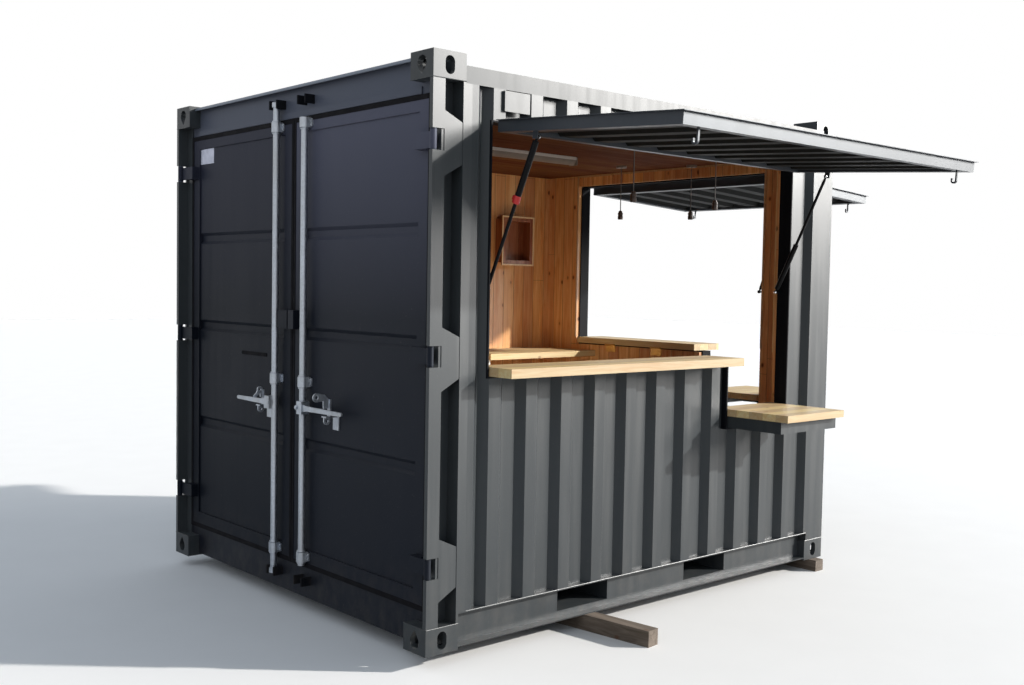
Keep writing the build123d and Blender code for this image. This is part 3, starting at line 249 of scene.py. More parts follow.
def timber(name, pale, deep, grain_axis, board_axis, board_width, groove=0.0, gloss=0.45, knots=0.8,
           board_length=0.0, shine=0.2):
    """Sawn boards: each its own tone, long grain, knots, and a groove or seam between neighbours.
    Where a board length is given, the boards are butted end to end, at heights of their own."""
    material, tree, shader = new_material(name)
    place = object_place(tree)
    split = add_node(tree, "SeparateXYZ", {0: place})

    # Each board has a number, which picks its tone and where its grain is cut from
    across = computed(tree, "DIVIDE", split.outputs[board_axis], board_width)
    board = computed(tree, "FLOOR", across)
    pick = add_node(tree, "TexWhiteNoise", {1: board}, noise_dimensions="1D")
    shift = add_node(tree, "VectorMath", {0: pick.outputs["Color"], 1: (7.0, 7.0, 7.0)},
                     operation="MULTIPLY").outputs[0]
    moved = add_node(tree, "VectorMath", {0: place, 1: shift}, operation="ADD").outputs[0]

    # Grain: fibres and rings drawn out along the board
    along = [14.0, 14.0, 14.0]
    along[grain_axis] = 0.8
    fibre_place = stretched(tree, moved, along)
    fibre = add_node(tree, "TexNoise", {"Vector": fibre_place, "Scale": 3.2, "Detail": 7.0,
                                        "Roughness": 0.62, "Distortion": 1.1}).outputs["Fac"]
    rings = add_node(tree, "TexWave", {"Vector": fibre_place, "Scale": 0.45, "Distortion": 9.0,
                                       "Detail": 3.0, "Detail Scale": 0.7},
                     wave_type="RINGS").outputs["Fac"]
    tone = mixed(tree, levels(tree, fibre, 0.38, 0.66), pale, deep)
    tone = mixed(tree, times(tree, levels(tree, rings, 0.55, 1.0), 0.35), tone, deep)
    hue = levels(tree, pick.outputs["Value"], 0.0, 1.0, 0.49, 0.508)
    value = levels(tree, pick.outputs["Value"], 0.0, 1.0, 0.8, 1.1)
    tone = add_node(tree, "HueSaturation", {"Hue": hue, "Value": value, "Color": tone}).outputs[0]

    # Knots: a dark eye in a deeper halo
    knot_scale = [10.0, 10.0, 10.0]
    knot_scale[grain_axis] = 6.5
    knot = add_node(tree, "TexVoronoi", {"Vector": stretched(tree, moved, knot_scale), "Scale": 1.0,
                                         "Randomness": 1.0}).outputs["Distance"]
    eye = levels(tree, knot, 0.05, 0.13, 1.0, 0.0)
    halo = levels(tree, knot, 0.1, 0.34, 1.0, 0.0)
    tone = mixed(tree, times(tree, halo, 0.55 * knots), tone, deep)
    tone = mixed(tree, times(tree, eye, knots), tone, knot_colour)

    # Seams between neighbours, and butts between the boards of one row
    edge = computed(tree, "ABSOLUTE", computed(tree, "SUBTRACT", computed(tree, "FRACT", across), 0.5))
    seam_half = max(groove, thinnest_seam) / board_width
    seam = levels(tree, edge, 0.5 - seam_half, 0.5 - 0.25 * seam_half)
    tone = mixed(tree, times(tree, seam, 0.5 if groove else 0.35), tone, seam_colour)
    if board_length:
        rows = computed(tree, "DIVIDE", split.outputs[grain_axis], board_length)
        rows = computed(tree, "ADD", rows, times(tree, pick.outputs["Value"], 5.0))
        butt = computed(tree, "ABSOLUTE", computed(tree, "SUBTRACT", computed(tree, "FRACT", rows), 0.5))
        butt = levels(tree, butt, 0.5 - butt_reach / board_length, 0.5 - butt_core / board_length)
        tone = mixed(tree, times(tree, butt, 0.85), tone, butt_colour)

    bumps = raised(tree, fibre, 0.2, 0.001)
    bumps = raised(tree, times(tree, seam, -1.0), 0.8 if groove else 0.3, 0.004, bumps)
    rough = levels(tree, fibre, 0.3, 0.7, gloss, gloss + 0.15)
    fill(tree, shader, {"Base Color": tone, "Roughness": rough, "Normal": bumps})
    shader.inputs["Specular IOR Level"].default_value = shine
    return material


# Cool specular tints turn the reflections blue: a painted reflection of blue sky, used on the door, door-end,
# drip and hatch frame paints
cool, faintly_cool = (0.72, 0.82, 1.0), (0.88, 0.94, 1.0)
anthracite_colour = colour(0.043, 0.050, 0.055)
anthracite = painted_steel("anthracite_paint", anthracite_colour)
# Door and door-end paints: the anthracite made darker and bluer, painted shade for the door end out of the
# sun; the left leaf is darker still, more painted shade. Each fades paler near the top as a painted
# highlight.
door_paint = painted_steel("door_paint", colour(0.009, 0.011, 0.017), gloss=0.45, dust=0.02, shine=0.12,
                           tint=cool, painted_sheen=colour(0.100, 0.106, 0.152))
left_door_paint = painted_steel("left_door_paint", colour(0.006, 0.008, 0.013), gloss=0.45, dust=0.02,
                                shine=0.09, tint=cool, painted_sheen=colour(0.030, 0.033, 0.052))
end_paint = painted_steel("door_end_paint", colour(0.010, 0.012, 0.018), gloss=0.4, dust=0.04, shine=0.13,
                          tint=cool, painted_sheen=colour(0.095, 0.108, 0.145))
# Hatch panels: the anthracite darkened nearly to black, painted shade for the undersides of the raised
# hatches
hatch_paint = painted_steel("hatch_paint", colour(0.009, 0.010, 0.010), gloss=0.6, dust=0.04, shine=0.07)
dark_paint = painted_steel("dark_frame_paint", colour(0.008, 0.009, 0.012), gloss=0.6, dust=0.04,
                           shine=0.03)
roof_paint = painted_steel("roof_paint", colour(0.052, 0.056, 0.060), gloss=0.8, dust=0.2, shine=0.03)
# Pale blue-grey drip edge: painted reflection of the sky, over a little real dust
drip_paint = painted_steel("drip_edge_paint", colour(0.17, 0.20, 0.25), gloss=0.35, dust=0.1, shine=0.4,
                           tint=cool)
post_paint = painted_steel("post_paint", anthracite_colour, gloss=0.35, dust=0.08, shine=0.28)
rail_paint = painted_steel("rail_paint", anthracite_colour, gloss=0.38, dust=0.08, shine=0.15)
hatch_frame_paint = painted_steel("hatch_frame_paint", colour(0.040, 0.046, 0.056), gloss=0.38, dust=0.05,
                                  shine=0.26, tint=faintly_cool)
galvanised = zinc("galvanised_steel", colour(0.42, 0.46, 0.52))
black_tube = painted_steel("black_tube", colour(0.005, 0.005, 0.006), gloss=0.3, dust=0.02, shine=0.08)
bright_rod = bright_metal("bright_rod", colour(0.72, 0.73, 0.75), 0.18)
plate_metal = bright_metal("plate_metal", colour(0.42, 0.45, 0.55), 0.4)
brass = bright_metal("brass", colour(0.75, 0.52, 0.22), 0.28)
rubber = moulded("door_rubber", colour(0.006, 0.006, 0.008), gloss=0.7, shine=0.08)
# The white plastic is darkened and browned: painted shade, for the lamp fittings that hang in the shaded
# interior
white_plastic = moulded("white_plastic", colour(0.27, 0.225, 0.19), gloss=0.6)
black_plastic = moulded("black_plastic", colour(0.02, 0.019, 0.018), gloss=0.45)
grey_flex = moulded("grey_flex", colour(0.15, 0.145, 0.14), gloss=0.6)
brown_plastic = moulded("brown_plastic", colour(0.075, 0.045, 0.032), gloss=0.35)
red_plastic = moulded("red_plastic", colour(0.60, 0.02, 0.02), gloss=0.4)
white_board = moulded("white_board", colour(0.74, 0.73, 0.70), gloss=0.5, grain=120.0)

along_x, along_y, along_z = 0, 1, 2
pine = (colour(0.93, 0.56, 0.26), colour(0.74, 0.32, 0.11))
slab_wood = (colour(0.81, 0.66, 0.37), colour(0.74, 0.51, 0.24))
front_boards = timber("front_boards", *pine, along_z, along_x, 0.096, groove=0.003, knots=0.9,
                      board_length=1.7)
end_boards = timber("end_boards", *pine, along_z, along_y, 0.096, groove=0.003, knots=0.9,
                    board_length=1.7)
# Ceiling boards: the pine of the linings made far darker, painted shade for the ceiling
ceiling_boards = timber("ceiling_boards", colour(0.20, 0.085, 0.04), colour(0.13, 0.05, 0.02), along_x,
                        along_y, 0.11, groove=0.003, gloss=0.7, shine=0.02)
front_slab = timber("front_slab", *slab_wood, along_x, along_y, 0.085, gloss=0.4, knots=0.5)
end_slab = timber("end_slab", *slab_wood, along_y, along_x, 0.085, gloss=0.4, knots=0.5)
niche_board = timber("niche_board", colour(0.90, 0.66, 0.40), colour(0.78, 0.50, 0.26), along_z, along_x,
                     0.3)
red_board = timber("red_board", colour(0.40, 0.15, 0.06), colour(0.26, 0.08, 0.03), along_z, along_x,
                   0.09, groove=0.002)
deck_board = timber("deck_plywood", colour(0.42, 0.25, 0.13), colour(0.28, 0.15, 0.07), along_x, along_y,
                    1.22, groove=0.002)
grey_timber = timber("grey_timber", colour(0.27, 0.22, 0.17), colour(0.15, 0.12, 0.09), along_y, along_x,
                     0.3, gloss=0.75, knots=0.5)

# Nodes with a look of their own. The others take the look of their material slot.
materials_of_nodes = {
    "front_lining": front_boards, "back_lining": front_boards, "end_lining": end_boards,
    "ceiling": ceiling_boards, "wall_niche": red_board, "floor_deck": deck_board,
    "front_counter": front_slab, "back_worktop": front_slab, "low_shelves": front_slab,
    "end_counter": end_slab, "timber_bearers": grey_timber, "shelf_brackets": anthracite,
    "left_door": left_door_paint, "right_door": door_paint, "bar_keepers": dark_paint,
    "top_end_rails": end_paint, "bottom_end_rails": end_paint, "door_end_posts": post_paint,
    "top_side_rails": rail_paint, "roof_panel": roof_paint,
    "front_hatch_panel": hatch_paint, "end_hatch_panel": hatch_paint,
    "front_hatch_frame": hatch_frame_paint, "end_hatch_frame": hatch_frame_paint,
}
materials_of_slots = {
    "anthracite_paint": anthracite, "dark_frame_paint": dark_paint, "galvanised_steel": galvanised,
    "black_tube": black_tube, "brass": brass, "white_board": white_board,
    "white_plastic": white_plastic, "black_cord": black_plastic, "black_holder": black_plastic,
}
for entry in frame["record"]["subparts"]:
    node = frame["nodes"][entry["node"]]
    look = materials_of_nodes.get(entry["node"]) or materials_of_slots[entry["material_slot"]]
    node.data.materials.clear()
    node.data.materials.append(look)


def soften(piece, width):
    """Round the sharp edges of a piece a little."""
    edges = piece.modifiers.new("soft_edges", "BEVEL")
    edges.width = width
    edges.segments = 2
    edges.limit_method = "ANGLE"
    edges.angle_limit = radians(40)
    edges.use_clamp_overlap = True
    edges.harden_normals = True


edge_widths = {
    "bottom_corner_castings": 0.004, "top_corner_castings": 0.004, "door_end_posts": 0.0015,
    "blind_end_posts": 0.004, "top_side_rails": 0.005, "front_counter": 0.004, "end_counter": 0.004,
    "low_shelves": 0.004, "back_worktop": 0.003, "timber_bearers": 0.004, "left_lock_bar": 0.002,
    "right_lock_bar": 0.002, "front_opening_frame": 0.001, "end_opening_frame": 0.001,
}
for name, width in edge_widths.items():
    soften(frame["nodes"][name], width)


# Building of pieces

def finished(name, mesh, look, body, bevel=0.0):
    """Link a bmesh as a piece that rides on a body."""
    data = bpy.data.meshes.new(name)
    bmesh.ops.recalc_face_normals(mesh, faces=mesh.faces)
    mesh.to_mesh(data)
    mesh.free()
    data.materials.append(look)
    data.shade_smooth()
    data.set_sharp_from_angle(angle=radians(35))
    piece = bpy.data.objects.new(name, data)
    scene.collection.objects.link(piece)
    if bevel:
        soften(piece, bevel)
    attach(piece, body)
    return piece


def lathe(mesh, profile, place=Matrix.Identity(4), count=24):
    """A turned form from radius and height pairs, its axis along the local Z of the place."""
    rings = []
    for radius, height in profile:
        rings.append([mesh.verts.new(place @ Vector((radius * cos(2 * pi * k / count),
                                                     radius * sin(2 * pi * k / count), height)))
                      for k in range(count)])
    for lower, upper in zip(rings, rings[1:]):
        for k in range(count):
            mesh.faces.new((lower[k], lower[(k + 1) % count], upper[(k + 1) % count], upper[k]))
    mesh.faces.new(rings[0][::-1])
    mesh.faces.new(rings[-1])


def slab(mesh, low, high, place=Matrix.Identity(4)):
    """A rectangular bar between two corners."""
    corners = [mesh.verts.new(place @ Vector((x, y, z)))
               for x in (low[0], high[0]) for y in (low[1], high[1]) for z in (low[2], high[2])]
    for face in ((0, 1, 3, 2), (4, 6, 7, 5), (0, 4, 5, 1), (2, 3, 7, 6), (0, 2, 6, 4), (1, 5, 7, 3)):
        mesh.faces.new([corners[k] for k in face])


def prism(mesh, *outlines):
    """A solid between two outlines that have the same number of points."""
    near, far = [[mesh.verts.new(point) for point in outline] for outline in outlines]
    for k in range(len(near)):
        after = (k + 1) % len(near)
        mesh.faces.new((near[k], near[after], far[after], far[k]))
    mesh.faces.new(near)
    mesh.faces.new(far[::-1])


def rim(mesh, x_span, outer, inner):
    """A rectangular ring across X, between an outer and an inner pair of Y and Z corners."""
    loops = []
    for x in x_span:
        for (y0, z0), (y1, z1) in (outer, inner):
            loops.append([mesh.verts.new((x, y, z)) for y, z in ((y0, z0), (y1, z0), (y1, z1), (y0, z1))])
    near_out, near_in, far_out, far_in = loops
    for one, two in ((near_out, near_in), (far_in, far_out), (near_in, far_in), (far_out, near_out)):
        for k in range(4):
            mesh.faces.new((one[k], one[(k + 1) % 4], two[(k + 1) % 4], two[k]))


def facing(spot, axis):
    """A place at a spot, its local Z along an axis."""
    return Matrix.Translation(spot) @ Vector(axis).to_track_quat("Z", "Y").to_matrix().to_4x4()


def bolt(mesh, spot, axis, across, height):
    """A hexagon head on a washer, both let in a little."""
    place = facing(spot, axis)
    washer_radius, washer_height, let_in = 0.72 * across, 0.0015, 0.0005
    lathe(mesh, [(washer_radius, -let_in), (washer_radius, washer_height)], place, 20)
    radius = 0.5 * across / cos(pi / 6)
    lathe(mesh, [(radius, 0.0012), (radius, 0.8 * height), (0.86 * radius, height)], place, 6)


def dome(mesh, spot, axis, radius, height):
    """A rivet or a ball end, round on top."""
    steps = [(radius * cos(a), height * sin(a)) for a in (0, 0.4, 0.8, 1.2, 1.5)]
    lathe(mesh, [(radius, -0.0005)] + steps, facing(spot, axis), 16)


def bead(mesh, start, end):
    """A weld bead along a seam, with ripples."""
    radius, ripple = 0.0025, 0.007
    start, end = Vector(start), Vector(end)
    length = (end - start).length
    count = max(2, int(length / ripple))
    profile = [(radius * (0.82 + 0.18 * (k % 2)), length * k / count) for k in range(count + 1)]
    lathe(mesh, profile, facing(start, end - start), 8)


# Pendants: each hangs straight on its flex from a ceiling rose
pendant_places = ((0, -0.992), (0.712, -0.965), (1.070, 0.099), (1.322, -0.284))
rose_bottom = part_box("pendant_roses")[0].z
holder_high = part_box("lampholders")[1]
flex_diameter = 0.006
holder_profile = [(0.004, 0.0), (0.012, -0.004), (0.0125, -0.013), (0.0165, -0.016), (0.0165, -0.028),
                  (0.0145, -0.030), (0.0145, -0.034), (0.0168, -0.036), (0.0168, -0.050), (0.0155, -0.058),
                  (0.0125, -0.058), (0.0122, -0.040), (0.002, -0.038)]
for number, (x, y) in enumerate(pendant_places, 1):
    curve = bpy.data.curves.new(f"flex_{number}", "CURVE")
    curve.dimensions = "3D"
    curve.bevel_depth = flex_diameter / 2
    curve.bevel_resolution = 3
    line = curve.splines.new("NURBS")
    route = [(x, y, rose_bottom), (x, y, (rose_bottom + holder_high.z) / 2), (x, y, holder_high.z)]
    line.points.add(len(route) - 1)
    for point, spot in zip(line.points, route):
        point.co = (*spot, 1)
    line.order_u = 3
    line.use_endpoint_u = True
    flex = bpy.data.objects.new(f"flex_{number}", curve)
    scene.collection.objects.link(flex)
    curve.materials.append(grey_flex)
    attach(flex, "shell")
    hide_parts(f"pendant_cord_{number}")
    mesh = bmesh.new()
    lathe(mesh, holder_profile, Matrix.Translation((x, y, holder_high.z)))
    holder = finished(f"holder_{number}", mesh, brown_plastic, "shell")
    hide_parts("lampholders")

# Doors: a rubber seal round each leaf, in the gaps to the frame and to the other leaf
door_face, seal_back = -1.437, -1.395
leaf_low, leaf_high = 0.240, 2.480
leaf_meeting, leaf_hinged = 0.005, 1.132
seal_past_meeting, seal_past_hinged, seal_past_ends = 0.003, 0.005, 0.007
seal_clear, seal_lap = 0.0005, 0.016
lap_under, lap_over = 0.0002, 0.0025


def leaf_corners(side, past_meeting, past_hinged, past_ends):
    """Two opposite corners of a leaf, in Y and Z, moved out past its edges."""
    return ((side * (leaf_meeting - past_meeting), leaf_low - past_ends),
            (side * (leaf_hinged + past_hinged), leaf_high + past_ends))


for name, side in (("left", 1), ("right", -1)):
    mesh = bmesh.new()
    outer = leaf_corners(side, seal_past_meeting, seal_past_hinged, seal_past_ends)
    edge = leaf_corners(side, seal_clear, seal_clear, seal_clear)
    lap = leaf_corners(side, -seal_lap, -seal_lap, -seal_lap)
    rim(mesh, (door_face - lap_under, seal_back), outer, edge)
    rim(mesh, (door_face - lap_over, door_face - lap_under), outer, lap)
    finished(f"{name}_door_seal", mesh, rubber, f"{name}_door", 0.0008)

# Drip edge folded down from the lip over the doors, pale blue-grey all over: a painted reflection of the sky
# on its face
header_low, header_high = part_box("top_end_rails")
drip_half_run, drip_drop, drip_out, drip_in = 1.056, 0.015, 0.004, 0.004
drip_lip, drip_clear = 0.003, 0.0005
drip_outline = ((0.0, -drip_clear), (drip_in, -drip_clear), (drip_in, -drip_drop),
                (-drip_out, -drip_drop), (-drip_out, drip_lip - drip_drop))
mesh = bmesh.new()
prism(mesh, *[[(header_low.x + x, y, header_high.z + z) for x, z in drip_outline]
              for y in (-drip_half_run, drip_half_run)])
finished("drip_edge", mesh, drip_paint, "shell")

# Lock bars: collars above and below each guide, and a bolt through each lever hub
bar_x, bar_from_middle = -1.461, 0.1375
guide_heights, guide_faces = (0.291, 1.170, 2.452), (-1.443, -1.435, -1.443)
guide_half, collar_clear = 0.025, 0.005
collar_profile = ((0.0168, -0.0035), (0.021, -0.0035), (0.0218, -0.002), (0.0218, 0.002),
                  (0.021, 0.0035), (0.0168, 0.0035))
guide_bolt_aside, guide_bolt_step = 0.0325, 0.011
lever_height, hub_face = 1.045, -1.496
outwards = (-1, 0, 0)
for name, side in (("left", 1), ("right", -1)):
    y = side * bar_from_middle
    mesh = bmesh.new()
    for height in guide_heights:
        for way in (-1, 1):
            # The right bar ends at its top guide
            if name == "right" and height == guide_heights[-1] and way == 1:
                continue
            middle = height + way * (guide_half + collar_clear)
            lathe(mesh, collar_profile, Matrix.Translation((bar_x, y, middle)), 28)
    bolt(mesh, (hub_face, y, lever_height), outwards, 0.017, 0.008)
    finished(f"{name}_bar_collars", mesh, galvanised, f"{name}_lock_bar")

    mesh = bmesh.new()
    for height, face in zip(guide_heights, guide_faces):
        for step in (-guide_bolt_step, guide_bolt_step):
            bolt(mesh, (face, y - guide_bolt_aside, height + step), outwards, 0.010, 0.005)
    finished(f"{name}_guide_bolts", mesh, galvanised, f"{name}_door")

# Hinge washers, above and below each knuckle on its pin
pin_x, pin_from_middle, knuckle_half = -1.4795, 1.203, 0.040
hinge_heights = (0.445, 1.360, 2.280)
washer_clear, washer_thickness = 0.0006, 0.0050
washer_profile = ((0.0140, 0.0), (0.0148, 0.0008), (0.0148, 0.0042), (0.0140, washer_thickness))
mesh = bmesh.new()
for height in hinge_heights:
    for side in (-1, 1):
        for low in (-knuckle_half - washer_clear - washer_thickness, knuckle_half + washer_clear):
            place = Matrix.Translation((pin_x, side * pin_from_middle, height + low))
            lathe(mesh, washer_profile, place, 28)
finished("hinge_washers", mesh, end_paint, "shell")

# Left leaf: a bare plate with four rivets, and a dark slot with a lip
panel_face, let_in = -1.429, 0.0005
plate_front = panel_face - 0.0015
plate_y, plate_z, rivet_inset = (0.887, 1.049), (2.327, 2.412), 0.008
mesh = bmesh.new()
slab(mesh, (plate_front, plate_y[0], plate_z[0]), (panel_face + let_in, plate_y[1], plate_z[1]))
finished("bare_plate", mesh, plate_metal, "left_door", 0.0006)
mesh = bmesh.new()
for y in (plate_y[0] + rivet_inset, plate_y[1] - rivet_inset):
    for z in (plate_z[0] + rivet_inset, plate_z[1] - rivet_inset):
        dome(mesh, (plate_front, y, z), outwards, 0.0035, 0.002)
finished("plate_rivets", mesh, galvanised, "left_door")

slot_low, slot_high, slot_height, slot_half, slot_lip = 0.276, 0.549, 1.280, 0.010, 0.003
slot_steps = 12
slot_outline = []
for centre, turn in ((slot_low + slot_half, pi), (slot_high - slot_half, 0)):
    slot_outline += [(centre + slot_half * cos(a), slot_height + slot_half * sin(a))
                     for a in [turn - pi / 2 + pi * k / slot_steps for k in range(slot_steps + 1)]]
mesh = bmesh.new()
prism(mesh, *[[(x, y, z) for y, z in slot_outline] for x in (panel_face - slot_lip, panel_face + let_in)])
finished("door_slot", mesh, rubber, "left_door", 0.001)

# Struts: bright ball ends on the free sides of the lower eyes, nuts on the upper studs, and a red
# clip on the tube of the strut at the doors
eye_half, nut_from_eye = 0.005, 0.006
lower_stud_height, upper_stud_height = 1.656, 2.301
front_studs_y, end_studs_x, end_strut_y = (-1.155, -1.466), (1.4315, 1.7425), -0.761
struts = {}
for name, x, way in (("front_left", -1.126, 1), ("front_right", 1.046, -1)):
    struts[name] = (Vector((x, front_studs_y[0], lower_stud_height)),
                    Vector((x, front_studs_y[1], upper_stud_height)), Vector((way, 0, 0)))
struts["end"] = (Vector((end_studs_x[0], end_strut_y, lower_stud_height)),
                 Vector((end_studs_x[1], end_strut_y, upper_stud_height)), Vector((0, 1, 0)))
for name, (lower, upper, inward) in struts.items():
    mesh = bmesh.new()
    dome(mesh, lower + inward * eye_half, inward, 0.010, 0.008)
    dome(mesh, lower - inward * eye_half, -inward, 0.008, 0.0008)
    finished(f"{name}_strut_ball", mesh, bright_rod, f"{name}_strut_lower")
    mesh = bmesh.new()
    bolt(mesh, upper + inward * nut_from_eye, inward, 0.014, 0.006)
    finished(f"{name}_strut_nut", mesh, bright_rod, "end_hatch" if name == "end" else "front_hatch")

clip_from_pivot, clip_length, tube_radius = 0.410, 0.036, 0.014
clip_profile = ((tube_radius + 0.0003, 0.0), (tube_radius + 0.003, 0.001), (tube_radius + 0.0035, 0.006),
                (tube_radius + 0.0025, clip_length - 0.004), (tube_radius + 0.0003, clip_length))
tab_half, tab_reach, tab_inset = 0.006, 0.012, 0.008
lower, upper, inward = struts["front_left"]
along = (upper - lower).normalized()
place = facing(lower + along * clip_from_pivot, along)
mesh = bmesh.new()
lathe(mesh, clip_profile, place, 28)
slab(mesh, (-tab_half, tube_radius, tab_inset), (tab_half, tube_radius + tab_reach, clip_length - tab_inset),
     place)
finished("strut_clip", mesh, red_plastic, "front_left_strut_upper", 0.001)

# Batten light: a shallow tray, a rounded diffuser under it and an end cap at each end
light_low, light_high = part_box("batten_light")
tray_height, cap_length, cap_inset = 0.018, 0.012, 0.001
tray_x = (light_low.x + cap_length, light_high.x - cap_length)
tray_bottom = light_high.z - tray_height
mesh = bmesh.new()
slab(mesh, (tray_x[0], light_low.y, tray_bottom), (tray_x[1], light_high.y, light_high.z))
tray = finished("light_tray", mesh, white_board, "shell", 0.002)
mesh = bmesh.new()
for x0, x1 in ((light_low.x, tray_x[0]), (tray_x[1], light_high.x)):
    slab(mesh, (x0, light_low.y + cap_inset, light_low.z),
         (x1, light_high.y - cap_inset, light_high.z - cap_inset))
caps = finished("light_caps", mesh, white_plastic, "shell", 0.004)
diffuser_middle = (light_low.y + light_high.y) / 2
diffuser_half = (light_high.y - light_low.y) / 2 - 0.004
diffuser_depth = tray_bottom - light_low.z - cap_inset
diffuser_steps = 16
arc = [(diffuser_middle + diffuser_half * cos(a), tray_bottom + diffuser_depth * sin(a))
       for a in [-pi * k / diffuser_steps for k in range(diffuser_steps + 1)]]
mesh = bmesh.new()
prism(mesh, *[[(x, y, z) for y, z in arc] for x in tray_x])
diffuser = finished("light_diffuser", mesh, white_plastic, "shell")
for piece in (tray, caps, diffuser):
    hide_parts("batten_light")

# Pale trims on the lining beside the jambs and over the heads of both openings
trim_width, trim_thickness, trim_gap = 0.014, 0.006, 0.010
head, counter_top = 2.443, 1.305
front_lining_face, front_left_jamb, front_right_jamb = -1.114, -1.165, 1.085
end_lining_face, end_low_jamb, end_high_jamb = 1.3905, -0.800, 0.800
pale_trim = timber("pale_trim", colour(0.85, 0.60, 0.32), colour(0.72, 0.45, 0.2), along_z, along_x, 0.3,
                   knots=0.2)
trim_bottom, trim_top = head + trim_gap, head + trim_gap + trim_width


def opening_trims(low_jamb, high_jamb):
    """The runs and the heights of the trims at both jambs and over the head of an opening."""
    low_trim = (low_jamb - trim_gap - trim_width, low_jamb - trim_gap)
    high_trim = (high_jamb + trim_gap, high_jamb + trim_gap + trim_width)
    return ((low_trim, (counter_top, trim_bottom)), (high_trim, (counter_top, trim_bottom)),
            ((low_trim[0], high_trim[1]), (trim_bottom, trim_top)))


mesh = bmesh.new()
for run, heights in opening_trims(front_left_jamb, front_right_jamb):
    slab(mesh, (run[0], front_lining_face, heights[0]),
         (run[1], front_lining_face + trim_thickness, heights[1]))
for run, heights in opening_trims(end_low_jamb, end_high_jamb):
    slab(mesh, (end_lining_face - trim_thickness, run[0], heights[0]),
         (end_lining_face, run[1], heights[1]))
finished("opening_trims", mesh, pale_trim, "shell", 0.001)

# Thin pale lippings round the mouth of the wall niche
niche_low, niche_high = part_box("wall_niche")
lipping_width, lipping_thickness, lipping_let_in = 0.011, 0.003, 0.001
x0, x1, z0, z1 = niche_low.x, niche_high.x, niche_low.z, niche_high.z
y0, y1 = niche_low.y - lipping_thickness, niche_low.y + lipping_let_in
mesh = bmesh.new()
for low_x, high_x in ((x0, x0 + lipping_width), (x1 - lipping_width, x1)):
    slab(mesh, (low_x, y0, z0), (high_x, y1, z1))
for low_z, high_z in ((z0, z0 + lipping_width), (z1 - lipping_width, z1)):
    slab(mesh, (x0 + lipping_width, y0, low_z), (x1 - lipping_width, y1, high_z))
finished("niche_lippings", mesh, niche_board, "shell", 0.0008)

# Boards over the inner faces of the blind end posts, between the linings
board_start, board_side, board_thickness, board_past_lining = 1.3175, 1.1305, 0.009, 0.002
floor_face, ceiling_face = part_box("floor_deck")[1].z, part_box("ceiling")[0].z
mesh = bmesh.new()
slab(mesh, (board_start, board_side - board_thickness, floor_face),
     (end_lining_face, board_side, ceiling_face))
slab(mesh, (board_start, -board_side, floor_face),
     (end_lining_face, front_lining_face + board_past_lining, ceiling_face))
finished("corner_boards", mesh, front_boards, "shell", 0.001)

# Strip over the narrow gap between the back wall and the post at the doors
strip_x, strip_y, strip_z = (-1.2824, -1.2695), (1.1812, 1.1830), (0.2305, 2.5305)
mesh = bmesh.new()
slab(mesh, (strip_x[0], strip_y[0], strip_z[0]), (strip_x[1], strip_y[1], strip_z[1]))
finished("back_wall_edge", mesh, anthracite, "shell", 0.0004)

# Weld beads where the posts meet the corner castings
casting_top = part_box("bottom_corner_castings")[1].z
casting_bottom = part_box("top_corner_castings")[0].z
half_x, half_y = 1.4955, 1.219
casting_reach_x, casting_reach_y = 0.178, 0.162
mesh = bmesh.new()
for z in (casting_top, casting_bottom):
    for side_x in (-1, 1):
        for side_y in (-1, 1):
            corner = Vector((side_x * half_x, side_y * half_y, z))
            bead(mesh, corner, corner - Vector((side_x * casting_reach_x, 0, 0)))
            bead(mesh, corner, corner - Vector((0, side_y * casting_reach_y, 0)))
finished("casting_welds", mesh, anthracite, "shell")

# Weld beads along the tops of the bottom side rails, between the posts
rail_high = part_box("bottom_side_rails")[1].z
door_post, blind_post, seam_inset = -1.2765, 1.3305, 0.001
mesh = bmesh.new()
for side in (-1, 1):
    seam_y = side * (half_y - seam_inset)
    bead(mesh, (door_post, seam_y, rail_high), (blind_post, seam_y, rail_high))
finished("rail_welds", mesh, anthracite, "shell")


# Studio: a pale floor and white surroundings where they are seen, and a soft sky that lights the piece

def seen_rays(tree):
    """One where the camera, a reflection or a view through glass meets the surface, else nought."""
    rays = add_node(tree, "LightPath").outputs
    either = computed(tree, "MAXIMUM", rays["Is Camera Ray"], rays["Is Glossy Ray"])
    return computed(tree, "MAXIMUM", either, rays["Is Transmission Ray"])


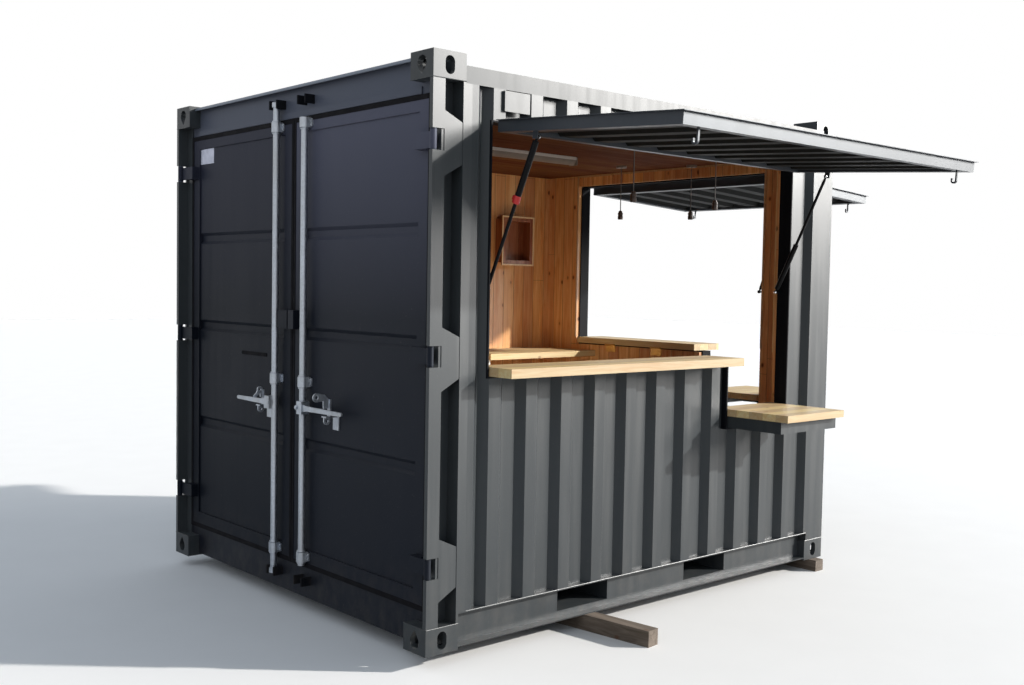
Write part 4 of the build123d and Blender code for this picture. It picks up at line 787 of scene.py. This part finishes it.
floor_reach, floor_depth = 40, 0.02
floor_mesh = bmesh.new()
slab(floor_mesh, (-floor_reach, -floor_reach, -floor_depth), (floor_reach, floor_reach, 0))
floor_data = bpy.data.meshes.new("studio_floor")
floor_mesh.to_mesh(floor_data)
floor_mesh.free()
floor = bpy.data.objects.new("studio_floor", floor_data)
scene.collection.objects.link(floor)
floor_look, tree, shader = new_material("studio_floor")
pale = mixed(tree, noise(tree, even, 3.0), colour(0.90, 0.90, 0.90), colour(0.94, 0.94, 0.94))
lit = mixed(tree, seen_rays(tree), colour(0.35, 0.33, 0.31), pale)
fill(tree, shader, {"Base Color": lit, "Roughness": 0.9})
floor_data.materials.append(floor_look)

world = bpy.data.worlds.new("studio")
scene.world = world
world.use_nodes = True
tree = world.node_tree
tree.nodes.clear()
sky = add_node(tree, "Background", {"Color": colour(0.78, 0.88, 1.0), "Strength": 0.46})
white = add_node(tree, "Background", {"Color": colour(1, 1, 1), "Strength": 1.0})
seen = add_node(tree, "MixShader", {0: seen_rays(tree), 1: sky.outputs[0], 2: white.outputs[0]})
add_node(tree, "OutputWorld", {0: seen.outputs[0]})


def sun(name, azimuth, elevation, strength, size, tint, glint=False):
    """A distant light from an azimuth, counted from +Y towards +X, and an elevation. A glint is a light
    that only shows in what shines."""
    light = bpy.data.lights.new(name, "SUN")
    light.energy = strength
    light.angle = radians(size)
    light.color = tint
    lamp = bpy.data.objects.new(name, light)
    scene.collection.objects.link(lamp)
    a, e = radians(azimuth), radians(elevation)
    towards = Vector((sin(a) * cos(e), cos(a) * cos(e), sin(e)))
    lamp.rotation_euler = towards.to_track_quat("Z", "Y").to_euler()
    lamp.visible_diffuse = not glint


sun("key", azimuth=132, elevation=24, strength=4.3, size=1.5, tint=(1.0, 0.96, 0.90))
sun("glint", azimuth=127, elevation=18, strength=15.0, size=22.0, tint=(1.0, 0.98, 0.95), glint=True)
sun("fill", azimuth=240, elevation=35, strength=0.25, size=40.0, tint=(0.9, 0.95, 1.0))

# Warm light thrown back from the worktops on to the inner walls
bounce = bpy.data.lights.new("bounce", "AREA")
bounce.shape = "RECTANGLE"
bounce.size, bounce.size_y = 1.2, 0.4
bounce.energy = 5.5
bounce.color = (1.0, 0.80, 0.58)
bounce_lamp = bpy.data.objects.new("bounce", bounce)
scene.collection.objects.link(bounce_lamp)
bounce_lamp.location = (-0.1, -0.1, 1.10)
bounce_lamp.rotation_euler = (radians(100), 0, 0)
bounce_lamp.visible_camera = False
bounce_lamp.visible_glossy = False
